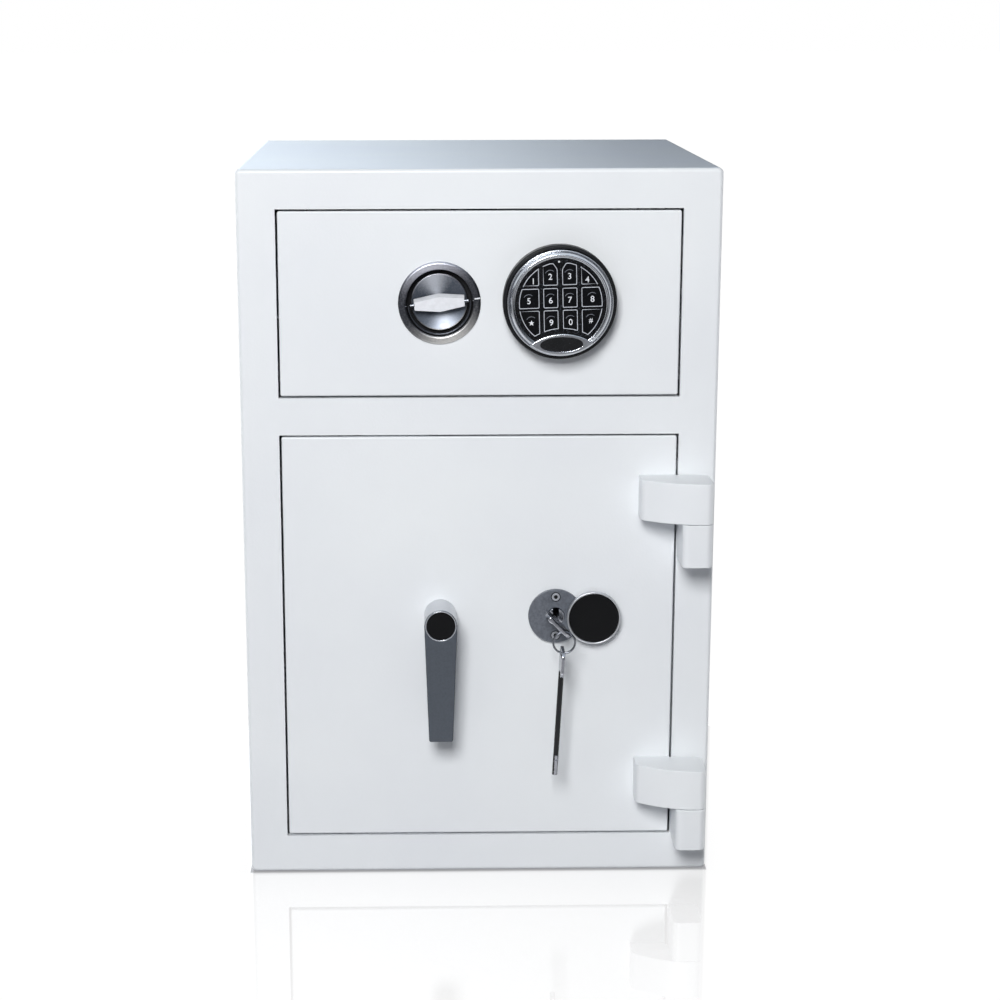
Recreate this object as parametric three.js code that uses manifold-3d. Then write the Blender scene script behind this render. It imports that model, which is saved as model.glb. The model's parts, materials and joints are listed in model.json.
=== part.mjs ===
// Drop safe with a deposit drawer, in millimetres.
// +Z is up, the front faces -Y, and the origin is the middle of the underside.

import * as THREE from 'three';
import { mergeVertices } from 'three/addons/utils/BufferGeometryUtils.js';
import Module from 'manifold-3d';

const wasm = await Module();
wasm.setup();

// Clearances that many pieces share
const runningGap = 0.3;
const turningGap = 0.4;
const cutOverrun = 1;
const weldDistance = 0.0001;

// Cabinet
const bodyWidth = 350;
const bodyDepth = 350;
const bodyHeight = 535;
const bodyEdgeRadius = 4;
const bodyCornerRadius = 6;
const shellWall = 3;
const frameThickness = 6;
const sideRail = 28;
const topRail = 28.5;
const middleRail = 27.5;
const bottomRail = 29.5;
const drawerOpeningHeight = 137;
const panelGap = 1.5;
const panelEdgeRadius = 1;
const panelCornerRadius = 1.5;
const anchorHoleRadius = 6;
const anchorHoleInset = 70;
const stopWidth = 50;
const stopThickness = 3;
const stopReach = 6;
const stopFoot = 9;
const stopInset = 60;

// Shelf under the drawer and the baffle behind it
const shelfThickness = 3;
const shelfBelowOpening = 14.5;
const shelfLip = 22;
const baffleThickness = 2;
const baffleReach = 105;
const baffleDrop = 45;
const baffleAboveShelf = 45;
const baffleToothDepth = 10;
const baffleTeeth = 12;

// Drawer
const trayHalfWidth = 132;
const traySheet = 1.5;
const trayBelowTop = 14.5;
const trayFloorRise = 7.5;
const trayFloorFall = 15;
const trayLength = 165;
const bulkheadSetback = 31;
const slideLength = 262;
const slideSheet = 2.5;
const slideHeight = 20;
const slideAboveFloor = 36;
const tongueReach = 7.5;
const tongueThickness = 3;
const channelLength = 290;
const channelSheet = 2;
const channelFootHeight = 20;
const gateSheet = 2;
const gateHeight = 98;
const gateAxisInset = 6;
const gateRollRadius = 4;
const gatePinRadius = 2;
const gateTail = 25;
const gateTailHalfWidth = 18;
const gateOpenAngle = Math.PI / 3;
const tripSetback = 12;
const tripThickness = 3;
const tripHalfWidth = 14;
const drawerLockHalfWidth = 30;
const drawerLockHeight = 44;
const drawerLockDepth = 24;
const drawerBoltHalfWidth = 8;
const drawerBoltThickness = 12;
const drawerBoltLength = 38;

// The pull and the lever share one upright line, the keypad and the keyhole another.
// Both are shares of the door's half width
const leftColumnShare = -0.2;
const rightColumnShare = 0.394;
const drawerHardwareRise = 1;

// Pull cup and its bail
const cupFlangeRadius = 30;
const cupFlangeThickness = 2.2;
const cupWallRadius = 25.2;
const cupMouthRadius = 24.2;
const cupDepth = 14;
const cupGrooveDepth = 9;
const dishRadius = 20.9;
const dishRim = 0.8;
const dishRimDepth = 5.8;
const dishDepth = 10.5;
const pullTilt = THREE.MathUtils.degToRad(4.9);
const bailAxisDepth = 1;
const bailRingRadius = 22.4;
const bailWireRadius = 1.1;
const bailBarLength = 37;
const bailBarHeight = 12.9;
const bailBarEndHeight = 7.3;
const bailBarThickness = 6.6;
const bailPinRadius = 1.3;
const bailPinReach = 0.6;

// Keypad
const keypadTilt = THREE.MathUtils.degToRad(1.7);
const keypadRise = 2.1;
const keypadBaseRadius = 41;
const keypadBackRadius = 39.5;
const keypadBaseDepth = 12;
const keypadRimDepth = 5;
const keypadRimBevel = 0.8;
const keypadBezelRadius = 38;
const keypadBezelFrontRadius = 37;
const keypadBezelDepth = 13;
const keypadFaceRadius = 32.4;
const keypadFaceSunk = 2;
const keypadStemRadius = 5;
const keypadStemLength = 9;
const keyFieldRadius = 30;
const keyFieldCutRadius = 38.4;
const keyFieldCutDrop = 56.5;
const keyThickness = 1.4;
const keyStandProud = 1;
const keyTravelRoom = 1.3;
const keyGap = 0.35;
const keyColumnShares = [
  [-1.013, -0.503],
  [-0.417, -0.057],
  [0.04, 0.403],
  [0.493, 1.003],
];
const keyRowShares = [
  [0.437, 0.973],
  [-0.1, 0.383],
  [-0.767, -0.143],
];
const keyNames = [
  ['key_1', 'key_2', 'key_3', 'key_4'],
  ['key_5', 'key_6', 'key_7', 'key_8'],
  ['key_star', 'key_9', 'key_0', 'key_hash'],
];

// Hinges
const hingeAxisInset = 16.5;
const hingeAxisOut = 21;
const hingeLeafHeight = 30.4;
const hingeKnuckleHeight = 32;
const upperHingeDrop = 61;
const lowerHingeRise = 32;
const hingeReach = 40.5;
const hingeFrontOut = 37;
const hingeLeftOut = 20;
const hingeSideReach = 11;
const hingeCornerRadius = 5;
const hingeCrestShare = 0.2;
const hingePinRadius = 5;
const hingePinDepth = 24;

// Door hardware
const handleAboveDoorMiddle = 19.3;
const lockAboveDoorMiddle = 18.3;
const handleHeadRadius = 12.25;
const handleReach = 89.8;
const handleTipHalfWidth = 9;
const handleThickness = 11;
const handleEdgeRadius = 1.4;
const handleTipRadius = 2.5;
const handleFrontOut = 33;
const handleInlayRadius = 10.5;
const handleInlayDepth = 1;
const spindleRadius = 6;
const bossRadius = 11.8;
const escutcheonRadius = 20.5;
const escutcheonThickness = 3.3;
const escutcheonScrewOffset = 14.9;
const screwRadius = 2;
const screwLength = 7;
const screwHeadRadius = 3.4;
const screwHeadThickness = 1.6;
const noseRadius = 6.3;
const noseProud = 1.3;
const noseBaseRadius = 9;
const keySlotWidth = 4.6;
const coverRadius = 20;
const coverThickness = 5;
const coverBehind = 1.7;
const coverPivotX = 13.8;
const coverCentreX = 28.2;
const coverPinRadius = 2.5;
const coverWasherRadius = 4.5;
const coverInlayRadius = 18.6;
const coverInlayThickness = 0.8;

// Keys and their ring
const keyLength = 98;
const bowWidth = 24.5;
const bowLength = 20;
const bowThickness = 2.4;
const bowCornerRadius = 5;
const bowOut = 34.5;
const bowSlotHalfLength = 10.7;
const bowSlotWidth = 3.2;
const bowSlotMargin = 2;
const shankRadius = 2;
const shankRoot = 3;
const bitThickness = 2;
const bitReach = 5.8;
const bitLength = 14;
const bitFromTip = 2;
const bitNotchDepth = 1.8;
const keyRestAngle = THREE.MathUtils.degToRad(45);
const ringRadius = 8.05;
const ringWireRadius = 0.8;
const ringHoleOffset = 6.6;
const spareTilt = THREE.MathUtils.degToRad(3);
const spareRingAngle = THREE.MathUtils.degToRad(8);

// Boltwork behind the door
const boltCount = 3;
const boltRadius = 8;
const boltSpacing = 100;
const boltStroke = 16;
const boltInset = 3;
const boltBehind = 11.5;
const boltChamfer = 1.5;
const boltWebInset = 41.5;
const boltWebThickness = 5;
const boltBarThickness = 4;
const boltBarWidth = 20;
const boltBarOverhang = 15;
const crankThickness = 5;
const crankRadius = 18;
const crankPinRadius = 3;
const crankSlotSlack = 0.6;
const tongueHalfHeight = 26;
const crankToBar = 2;
const lockCaseHalfWidth = 24;
const lockCaseAbove = 37;
const lockCaseBelow = 36;
const lockCaseDepth = 63;
const lockCaseWall = 2.5;
const lockBoltHalfWidth = 5;
const lockBoltThickness = 11;
const lockBoltProud = 2.4;
const lockBoltTail = 5;
const lockTabWidth = 5;
const lockTabSlack = 0.5;
const lockTabAbove = 1.6;
const lockArmAbove = 30;
const lockArmHeight = 12;
const guideInset = 6.5;
const guideThickness = 4;
const guideDepth = 24;
const guideFootWidth = 8;
const guideFootThickness = 3;
const coverPanLeftInset = 19.5;
const coverPanRightInset = 31.5;
const coverPanEndInset = 13;
const coverPanDepth = 70;
const coverPanSheet = 1.5;
const deadBarReach = 8;
const deadBarThickness = 6;
const deadBarStandoff = 3.5;
const deadBarFootWidth = 18;
const deadBarInset = 9.5;
const deadBarEndInset = 20;

// Finishes, as colour, roughness and metalness
const whiteEnamel = { color: 0xe9ebee, roughness: 0.45, metalness: 0 };
const insideEnamel = { color: 0xc9ccd0, roughness: 0.55, metalness: 0 };
const chrome = { color: 0xc8cacd, roughness: 0.15, metalness: 1 };
const brushedSteel = { color: 0xa9abae, roughness: 0.35, metalness: 1 };
const zincPlate = { color: 0x9da2a6, roughness: 0.45, metalness: 0.9 };
const slateMetal = { color: 0x6c6f76, roughness: 0.5, metalness: 0.7 };
const paleMetal = { color: 0xb9bcc1, roughness: 0.4, metalness: 0.8 };
const blackGloss = { color: 0x0e0f11, roughness: 0.25, metalness: 0 };
const blackMatt = { color: 0x17181a, roughness: 0.55, metalness: 0 };

// Facets on round pieces, by how large they are
const hexagonSides = 6;
const hoopSides = 8;
const coarseRound = 12;
const mediumRound = 24;
const fineRound = 36;
const largeRound = 48;

// Planes and places that several pieces take their position from
const frontY = -bodyDepth / 2;
const backY = bodyDepth / 2;
const frameBackY = frontY + frameThickness;
const innerHalfWidth = bodyWidth / 2 - shellWall;
const innerTop = bodyHeight - shellWall;
const innerBackY = backY - shellWall;
const openingHalfWidth = bodyWidth / 2 - sideRail;
const panelHalfWidth = openingHalfWidth - panelGap;
const leftColumnX = panelHalfWidth * leftColumnShare;
const rightColumnX = panelHalfWidth * rightColumnShare;
const drawerOpeningTop = bodyHeight - topRail;
const drawerOpeningBottom = drawerOpeningTop - drawerOpeningHeight;
const doorOpeningTop = drawerOpeningBottom - middleRail;
const doorOpeningBottom = bottomRail;
const doorMiddleZ = (doorOpeningTop + doorOpeningBottom) / 2;
const handleZ = doorMiddleZ + handleAboveDoorMiddle;
const lockZ = doorMiddleZ + lockAboveDoorMiddle;
const drawerHardwareZ = (drawerOpeningTop + drawerOpeningBottom) / 2 + drawerHardwareRise;
const keypadZ = drawerHardwareZ + keypadRise;
const hingeAxisX = bodyWidth / 2 - hingeAxisInset;
const hingeAxisY = frontY - hingeAxisOut;

// Turns a closed three.js geometry into a solid that can be cut and joined
function solidOf(geometry) {
  const bare = new THREE.BufferGeometry();
  bare.setAttribute('position', geometry.getAttribute('position'));
  if (geometry.getIndex()) {
    bare.setIndex(geometry.getIndex());
  }
  const merged = mergeVertices(bare, weldDistance);
  const index = merged.getIndex();
  const corners = [];
  for (let i = 0; i < index.count; i += 3) {
    const a = index.getX(i);
    const b = index.getX(i + 1);
    const c = index.getX(i + 2);
    if (a !== b && b !== c && c !== a) {
      corners.push(a, b, c);
    }
  }
  return new wasm.Manifold(new wasm.Mesh({
    numProp: 3,
    vertProperties: new Float32Array(merged.getAttribute('position').array),
    triVerts: new Uint32Array(corners),
  }));
}

function block(x0, x1, y0, y1, z0, z1) {
  const geometry = new THREE.BoxGeometry(x1 - x0, y1 - y0, z1 - z0);
  geometry.translate((x0 + x1) / 2, (y0 + y1) / 2, (z0 + z1) / 2);
  return solidOf(geometry);
}

function rodX(radius, x0, x1, y, z, facets) {
  const geometry = new THREE.CylinderGeometry(radius, radius, x1 - x0, facets);
  geometry.rotateZ(-Math.PI / 2);
  geometry.translate((x0 + x1) / 2, y, z);
  return solidOf(geometry);
}

function rodY(radius, x, y0, y1, z, facets) {
  const geometry = new THREE.CylinderGeometry(radius, radius, y1 - y0, facets);
  geometry.translate(x, (y0 + y1) / 2, z);
  return solidOf(geometry);
}

function rodZ(radius, x, y, z0, z1, facets) {
  const geometry = new THREE.CylinderGeometry(radius, radius, z1 - z0, facets);
  geometry.rotateX(Math.PI / 2);
  geometry.translate(x, y, (z0 + z1) / 2);
  return solidOf(geometry);
}

// Turns a profile of (radius, y) pairs, listed from the low y end, about the Y axis
function turnedY(profile, facets) {
  const points = profile.map(([radius, y]) => new THREE.Vector2(radius, y));
  return solidOf(new THREE.LatheGeometry(points, facets));
}

// As turnedY, with (radius, out) pairs listed from the back, where out is how far they stand forward
function turnedFront(profile, facets) {
  return turnedY(profile.map(([radius, out]) => [radius, -out]).reverse(), facets);
}

function outline(points) {
  return new THREE.Shape(points.map(([x, y]) => new THREE.Vector2(x, y)));
}

function roundedRectangle(x0, x1, y0, y1, radius) {
  const shape = new THREE.Shape();
  shape.moveTo(x0 + radius, y0);
  shape.lineTo(x1 - radius, y0);
  shape.absarc(x1 - radius, y0 + radius, radius, -Math.PI / 2, 0, false);
  shape.lineTo(x1, y1 - radius);
  shape.absarc(x1 - radius, y1 - radius, radius, 0, Math.PI / 2, false);
  shape.lineTo(x0 + radius, y1);
  shape.absarc(x0 + radius, y1 - radius, radius, Math.PI / 2, Math.PI, false);
  shape.lineTo(x0, y0 + radius);
  shape.absarc(x0 + radius, y0 + radius, radius, Math.PI, Math.PI * 1.5, false);
  return shape;
}

// Extrudes an outline drawn in (x, z) from yBack towards the front at yFront
function plateY(shape, yFront, yBack, arcSteps) {
  const geometry = new THREE.ExtrudeGeometry(shape, {
    depth: yBack - yFront,
    bevelEnabled: false,
    curveSegments: arcSteps,
  });
  geometry.rotateX(Math.PI / 2);
  geometry.translate(0, yBack, 0);
  return solidOf(geometry);
}

// As plateY, with the edges of both faces rounded
function softPlateY(shape, yFront, yBack, radius, arcSteps, edgeSteps) {
  const geometry = new THREE.ExtrudeGeometry(shape, {
    depth: yBack - yFront - 2 * radius,
    bevelEnabled: true,
    bevelThickness: radius,
    bevelSize: radius,
    bevelOffset: -radius,
    bevelSegments: edgeSteps,
    curveSegments: arcSteps,
  });
  geometry.rotateX(Math.PI / 2);
  geometry.translate(0, yBack - radius, 0);
  return solidOf(geometry);
}

// Extrudes an outline drawn in (x, y) upwards
function plateZ(shape, z0, z1, arcSteps) {
  const geometry = new THREE.ExtrudeGeometry(shape, {
    depth: z1 - z0,
    bevelEnabled: false,
    curveSegments: arcSteps,
  });
  geometry.translate(0, 0, z0);
  return solidOf(geometry);
}

// Extrudes an outline drawn in (y, z) along X
function plateX(shape, x0, x1, arcSteps) {
  const geometry = new THREE.ExtrudeGeometry(shape, {
    depth: x1 - x0,
    bevelEnabled: false,
    curveSegments: arcSteps,
  });
  const alongX = new THREE.Matrix4().makeBasis(
    new THREE.Vector3(0, 1, 0),
    new THREE.Vector3(0, 0, 1),
    new THREE.Vector3(1, 0, 0),
  );
  geometry.applyMatrix4(alongX);
  geometry.translate(x0, 0, 0);
  return solidOf(geometry);
}

function addPiece(group, name, solid, finish) {
  const { vertProperties, triVerts } = solid.getMesh();
  const geometry = new THREE.BufferGeometry();
  geometry.setAttribute('position', new THREE.BufferAttribute(vertProperties, 3));
  geometry.setIndex(new THREE.BufferAttribute(triVerts, 1));
  geometry.computeVertexNormals();
  const mesh = new THREE.Mesh(geometry, new THREE.MeshStandardMaterial(finish));
  mesh.name = name;
  group.add(mesh);
}

function groupAt(parent, x, y, z) {
  const group = new THREE.Group();
  group.position.set(x, y, z);
  parent.add(group);
  return group;
}

const safe = new THREE.Group();

// The welded cabinet: a shell that is open at the front, and the frame that closes its edge
function makeCabinet() {
  const bodyShape = roundedRectangle(-bodyWidth / 2, bodyWidth / 2, 0, bodyHeight, bodyCornerRadius);
  const bodyBlock = softPlateY(bodyShape, frontY, backY, bodyEdgeRadius, 3, 3);
  const outsideHalf = bodyWidth / 2 + cutOverrun;
  const behindFrame = block(
    -outsideHalf, outsideHalf, frameBackY, backY + cutOverrun, -cutOverrun, bodyHeight + cutOverrun);

  const cavity = block(
    -innerHalfWidth, innerHalfWidth, frameBackY - cutOverrun, innerBackY, shellWall, innerTop);
  let shell = bodyBlock.intersect(behindFrame).subtract(cavity);
  for (const x of [-1, 1]) {
    for (const y of [-1, 1]) {
      const holeX = x * (bodyWidth / 2 - anchorHoleInset);
      const holeY = y * (bodyDepth / 2 - anchorHoleInset);
      const hole = rodZ(anchorHoleRadius, holeX, holeY, -cutOverrun, shellWall + cutOverrun, coarseRound);
      shell = shell.subtract(hole);
    }
  }
  addPiece(safe, 'cabinet_shell', shell, whiteEnamel);

  const drawerOpening = block(
    -openingHalfWidth, openingHalfWidth, frontY - cutOverrun, backY, drawerOpeningBottom, drawerOpeningTop);
  const doorOpening = block(
    -openingHalfWidth, openingHalfWidth, frontY - cutOverrun, backY, doorOpeningBottom, doorOpeningTop);
  let frame = bodyBlock.subtract(behindFrame).subtract(drawerOpening).subtract(doorOpening);
  const stopLeft = -openingHalfWidth + stopInset;
  for (const [edgeZ, inward] of [[doorOpeningTop, -1], [doorOpeningBottom, 1]]) {
    const footZ = [edgeZ, edgeZ - inward * stopFoot].sort((a, b) => a - b);
    const lipZ = [edgeZ - inward * stopFoot, edgeZ + inward * stopReach].sort((a, b) => a - b);
    const stopBackY = frameBackY + stopThickness;
    const foot = block(
      stopLeft, stopLeft + stopWidth, frameBackY - panelEdgeRadius, stopBackY, footZ[0], footZ[1]);
    const lip = block(
      stopLeft, stopLeft + stopWidth, frameBackY + runningGap, stopBackY, lipZ[0], lipZ[1]);
    frame = frame.add(foot).add(lip);
  }
  addPiece(safe, 'front_frame', frame, whiteEnamel);
}
makeCabinet();

// The shelf between the drawer and the vault, open at the back as the drop throat
const shelfTopZ = drawerOpeningBottom - shelfBelowOpening;
const trayRearY = frameBackY + trayLength;
function makeShelfAndBaffle() {
  const shelfRearY = trayRearY - shelfThickness;
  const flat = block(
    -innerHalfWidth, innerHalfWidth, frameBackY, shelfRearY, shelfTopZ - shelfThickness, shelfTopZ);
  const lip = block(
    -innerHalfWidth, innerHalfWidth, shelfRearY - shelfThickness, shelfRearY, shelfTopZ - shelfLip, shelfTopZ);
  addPiece(safe, 'drop_shelf', flat.add(lip), insideEnamel);

  const baffleRearZ = shelfTopZ + baffleAboveShelf;
  const toothPitch = 2 * innerHalfWidth / baffleTeeth;
  const points = [[innerHalfWidth, innerBackY], [-innerHalfWidth, innerBackY]];
  const toothRootY = innerBackY - baffleReach + baffleToothDepth;
  for (let i = 0; i < baffleTeeth; i += 1) {
    const left = -innerHalfWidth + i * toothPitch;
    points.push([left, toothRootY]);
    points.push([left + toothPitch / 2, toothRootY - baffleToothDepth]);
  }
  points.push([innerHalfWidth, toothRootY]);
  const plan = plateZ(outline(points), shelfTopZ - baffleDrop, baffleRearZ + baffleDrop, 1);
  const slope = plateX(outline([
    [innerBackY, baffleRearZ - baffleThickness],
    [innerBackY, baffleRearZ],
    [innerBackY - baffleReach, baffleRearZ - baffleDrop],
    [innerBackY - baffleReach, baffleRearZ - baffleDrop - baffleThickness],
  ]), -innerHalfWidth, innerHalfWidth, 1);
  addPiece(safe, 'fishing_baffle', plan.intersect(slope), insideEnamel);
}
makeShelfAndBaffle();

// The drawer box, its runners and the gate that opens as the drawer goes in
const trayTopZ = drawerOpeningTop - trayBelowTop;
const trayFloorRearZ = drawerOpeningBottom + trayFloorRise;
const trayFloorFrontZ = trayFloorRearZ + trayFloorFall;
const slideMiddleZ = trayFloorFrontZ + slideAboveFloor;
const trayInnerHalf = trayHalfWidth - traySheet;
const gateAxisY = trayRearY - gateAxisInset;
const gateAxisZ = trayTopZ - gateAxisInset;
const bulkheadY = frameBackY + bulkheadSetback;
const drawer = new THREE.Group();
safe.add(drawer);

function makeDrawerFront() {
  const bottom = drawerOpeningBottom + panelGap;
  const top = drawerOpeningTop - panelGap;
  const shape = roundedRectangle(-panelHalfWidth, panelHalfWidth, bottom, top, panelCornerRadius);
  const cupHole = rodY(
    cupWallRadius + runningGap, leftColumnX, frontY - cutOverrun, frameBackY + cutOverrun,
    drawerHardwareZ, fineRound);
  const stemHole = rodY(
    keypadStemRadius + runningGap, rightColumnX, frontY - cutOverrun, frameBackY + cutOverrun,
    keypadZ, mediumRound);
  const plate = softPlateY(shape, frontY, frameBackY, panelEdgeRadius, 2, 2);
  addPiece(drawer, 'drawer_front', plate.subtract(cupHole).subtract(stemHole), whiteEnamel);
}
makeDrawerFront();

function makeTray() {
  const sideShape = outline([
    [frameBackY, trayFloorFrontZ - traySheet],
    [bulkheadY, trayFloorFrontZ - traySheet],
    [trayRearY, trayFloorRearZ - traySheet],
    [trayRearY, trayTopZ],
    [frameBackY, trayTopZ],
  ]);
  const floorShape = outline([
    [frameBackY, trayFloorFrontZ - traySheet],
    [bulkheadY, trayFloorFrontZ - traySheet],
    [trayRearY, trayFloorRearZ - traySheet],
    [trayRearY, trayFloorRearZ],
    [bulkheadY, trayFloorFrontZ],
    [frameBackY, trayFloorFrontZ],
  ]);
  let tray = plateX(floorShape, -trayHalfWidth, trayHalfWidth, 1);
  for (const [inner, outer] of [[-trayHalfWidth, -trayInnerHalf], [trayInnerHalf, trayHalfWidth]]) {
    tray = tray.add(plateX(sideShape, inner, outer, 1));
  }
  tray = tray.add(block(
    -trayHalfWidth, trayHalfWidth, bulkheadY - traySheet, bulkheadY, trayFloorFrontZ - traySheet, trayTopZ));
  const pinHole = rodX(
    gatePinRadius + turningGap, -trayHalfWidth - cutOverrun, trayHalfWidth + cutOverrun,
    gateAxisY, gateAxisZ, mediumRound);
  addPiece(drawer, 'drawer_tray', tray.subtract(pinHole), zincPlate);
}
makeTray();

function makeRunners() {
  const tongueRoot = trayHalfWidth + slideSheet;
  const tongueTip = tongueRoot + tongueReach;
  const webInner = tongueTip + turningGap;
  const webOuter = webInner + channelSheet;
  const flangeHalf = tongueThickness / 2 + runningGap;
  const slideFrontY = frameBackY + bodyEdgeRadius;
  const channelFrontY = frameBackY + panelGap;
  for (const [side, name] of [[-1, 'left'], [1, 'right']]) {
    const spanX = (a, b) => (side < 0 ? [-b, -a] : [a, b]);
    const bar = (a, b, y0, y1, z0, z1) => block(...spanX(a, b), y0, y1, z0, z1);
    const slideRearY = slideFrontY + slideLength;
    const slide = bar(
      trayHalfWidth, tongueRoot, slideFrontY, slideRearY,
      slideMiddleZ - slideHeight / 2, slideMiddleZ + slideHeight / 2,
    ).add(bar(
      tongueRoot - channelSheet, tongueTip, slideFrontY, slideRearY,
      slideMiddleZ - tongueThickness / 2, slideMiddleZ + tongueThickness / 2));
    addPiece(drawer, `${name}_drawer_slide`, slide, zincPlate);

    const rearY = channelFrontY + channelLength;
    const flangeInner = tongueRoot + turningGap;
    const outerHalf = flangeHalf + channelSheet;
    const channel = bar(
      flangeInner, webOuter, channelFrontY, rearY, slideMiddleZ - outerHalf, slideMiddleZ + outerHalf,
    ).subtract(bar(
      flangeInner - cutOverrun, webInner, channelFrontY - cutOverrun, rearY + cutOverrun,
      slideMiddleZ - flangeHalf, slideMiddleZ + flangeHalf,
    )).add(bar(
      webInner, innerHalfWidth, channelFrontY, rearY,
      slideMiddleZ - channelSheet / 2, slideMiddleZ + channelSheet / 2,
    )).add(bar(
      innerHalfWidth - channelSheet, innerHalfWidth, channelFrontY, rearY,
      slideMiddleZ - channelFootHeight / 2, slideMiddleZ + channelFootHeight / 2));
    addPiece(safe, `${name}_runner_channel`, channel, zincPlate);
  }
}
makeRunners();

function makeGate() {
  const gate = groupAt(drawer, 0, gateAxisY, gateAxisZ);
  gate.rotation.x = gateOpenAngle;
  const half = trayInnerHalf - runningGap;
  const leaf = block(-half, half, -gateSheet / 2, gateSheet / 2, -gateHeight, 0);
  const tail = block(
    -gateTailHalfWidth, gateTailHalfWidth, -gateSheet / 2, gateSheet / 2, 0, gateTail);
  const roll = rodX(gateRollRadius, -half, half, 0, 0, coarseRound);
  const pinHalf = trayHalfWidth - runningGap;
  const pin = rodX(gatePinRadius, -pinHalf, pinHalf, 0, 0, coarseRound);
  addPiece(gate, 'drop_gate', leaf.add(tail).add(roll).add(pin), zincPlate);

  // The bracket meets the tail just above the roll and tips the gate as the drawer closes
  const tripFrontY = gateAxisY - tripSetback;
  const tripBottomZ = gateAxisZ + tripSetback / Math.tan(gateOpenAngle)
    + gateSheet / 2 / Math.sin(gateOpenAngle) + runningGap;
  const hanger = block(
    -tripHalfWidth, tripHalfWidth, tripFrontY, tripFrontY + tripThickness, tripBottomZ, innerTop);
  const foot = block(
    -tripHalfWidth, tripHalfWidth, tripFrontY, tripFrontY + tripSetback * 2,
    innerTop - tripThickness, innerTop);
  addPiece(safe, 'gate_trip_bracket', hanger.add(foot), zincPlate);
}
makeGate();

// The electronic lock behind the drawer front, whose bolt rises behind the top rail
function makeDrawerLock() {
  const x0 = rightColumnX - drawerLockHalfWidth;
  const x1 = rightColumnX + drawerLockHalfWidth;
  const caseTopZ = trayTopZ + gateSheet;
  const caseBottomZ = caseTopZ - drawerLockHeight;
  const caseBackY = frameBackY + drawerLockDepth;
  const boltFrontY = frameBackY + (drawerLockDepth - drawerBoltThickness) / 2;
  const boltBackY = boltFrontY + drawerBoltThickness;
  const boltTopZ = drawerOpeningTop - panelGap - cutOverrun;
  const boltBottomZ = boltTopZ - drawerBoltLength;
  const pocket = block(
    rightColumnX - drawerBoltHalfWidth - runningGap, rightColumnX + drawerBoltHalfWidth + runningGap,
    boltFrontY - runningGap, boltBackY + runningGap, boltBottomZ - runningGap, caseTopZ + cutOverrun);
  const lockCase = block(x0, x1, frameBackY, caseBackY, caseBottomZ, caseTopZ);
  addPiece(drawer, 'drawer_lock_case', lockCase.subtract(pocket), slateMetal);
  const bolt = block(
    rightColumnX - drawerBoltHalfWidth, rightColumnX + drawerBoltHalfWidth,
    boltFrontY, boltBackY, boltBottomZ, boltTopZ);
  addPiece(drawer, 'drawer_lock_bolt', bolt, brushedSteel);
}
makeDrawerLock();

// The round pull: a cup with a shallow dish in it, and a bail that folds into its groove
function makePull() {
  const pull = groupAt(drawer, leftColumnX, frontY, drawerHardwareZ);
  pull.rotation.y = -pullTilt;
  const edge = cupFlangeThickness / 2;
  const dishInner = dishRadius - dishRim;
  const dishFall = dishDepth - dishRimDepth;
  const dishShares = [1, 0.92, 0.75, 0.45, 0];
  const cup = turnedFront([
    [0, -cupDepth],
    [cupWallRadius, -cupDepth],
    [cupWallRadius, 0],
    [cupFlangeRadius, 0],
    [cupFlangeRadius, edge],
    [cupFlangeRadius - edge, cupFlangeThickness],
    [cupMouthRadius + edge, cupFlangeThickness],
    [cupMouthRadius, edge],
    [cupMouthRadius, -cupGrooveDepth],
    [dishRadius, -cupGrooveDepth],
    [dishRadius, -dishRimDepth],
    ...dishShares.map((share) => [
      dishInner * share, -dishRimDepth - dishFall * (1 - share * share)]),
  ], fineRound);
  const pinReach = cupMouthRadius + bailPinReach;
  const pinHole = rodX(
    bailPinRadius + runningGap, -cupWallRadius - cutOverrun, cupWallRadius + cutOverrun,
    bailAxisDepth, 0, coarseRound);
  addPiece(pull, 'pull_cup', cup.subtract(pinHole), brushedSteel);

  const half = bailBarLength / 2;
  const middle = bailBarHeight / 2;
  const end = bailBarEndHeight / 2;
  const bar = plateY(
    outline([[-half, -end], [0, -middle], [half, -end], [half, end], [0, middle], [-half, end]]),
    bailAxisDepth - bailBarThickness / 2, bailAxisDepth + bailBarThickness / 2, 1);
  const hoopGeometry = new THREE.TorusGeometry(bailRingRadius, bailWireRadius, hoopSides, fineRound);
  hoopGeometry.rotateX(Math.PI / 2);
  hoopGeometry.translate(0, bailAxisDepth, 0);
  const reach = bailRingRadius + bailWireRadius + cutOverrun;
  const hoop = solidOf(hoopGeometry).intersect(block(-reach, reach, -reach, reach, -reach, 0));
  const pins = rodX(bailPinRadius, -pinReach, pinReach, bailAxisDepth, 0, coarseRound);
  addPiece(pull, 'pull_bail', hoop.add(bar).add(pins), paleMetal);
}
makePull();

// The keypad: a black base whose rim holds the chrome bezel, and the black face with a pocket for each key
function keyBlank(column, row, grow, outBack, outFront) {
  const [x0, x1] = keyColumnShares[column].map((share) => share * keyFieldRadius);
  const [z0, z1] = keyRowShares[row].map((share) => share * keyFieldRadius);
  const cell = block(x0 - grow, x1 + grow, -outFront, -outBack, z0 - grow, z1 + grow);
  const field = rodY(keyFieldRadius + grow, 0, -outFront, -outBack, 0, largeRound);
  const cut = rodY(
    keyFieldCutRadius - grow, 0, -outFront - cutOverrun, -outBack + cutOverrun, -keyFieldCutDrop, largeRound);
  return cell.intersect(field).subtract(cut);
}

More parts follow.
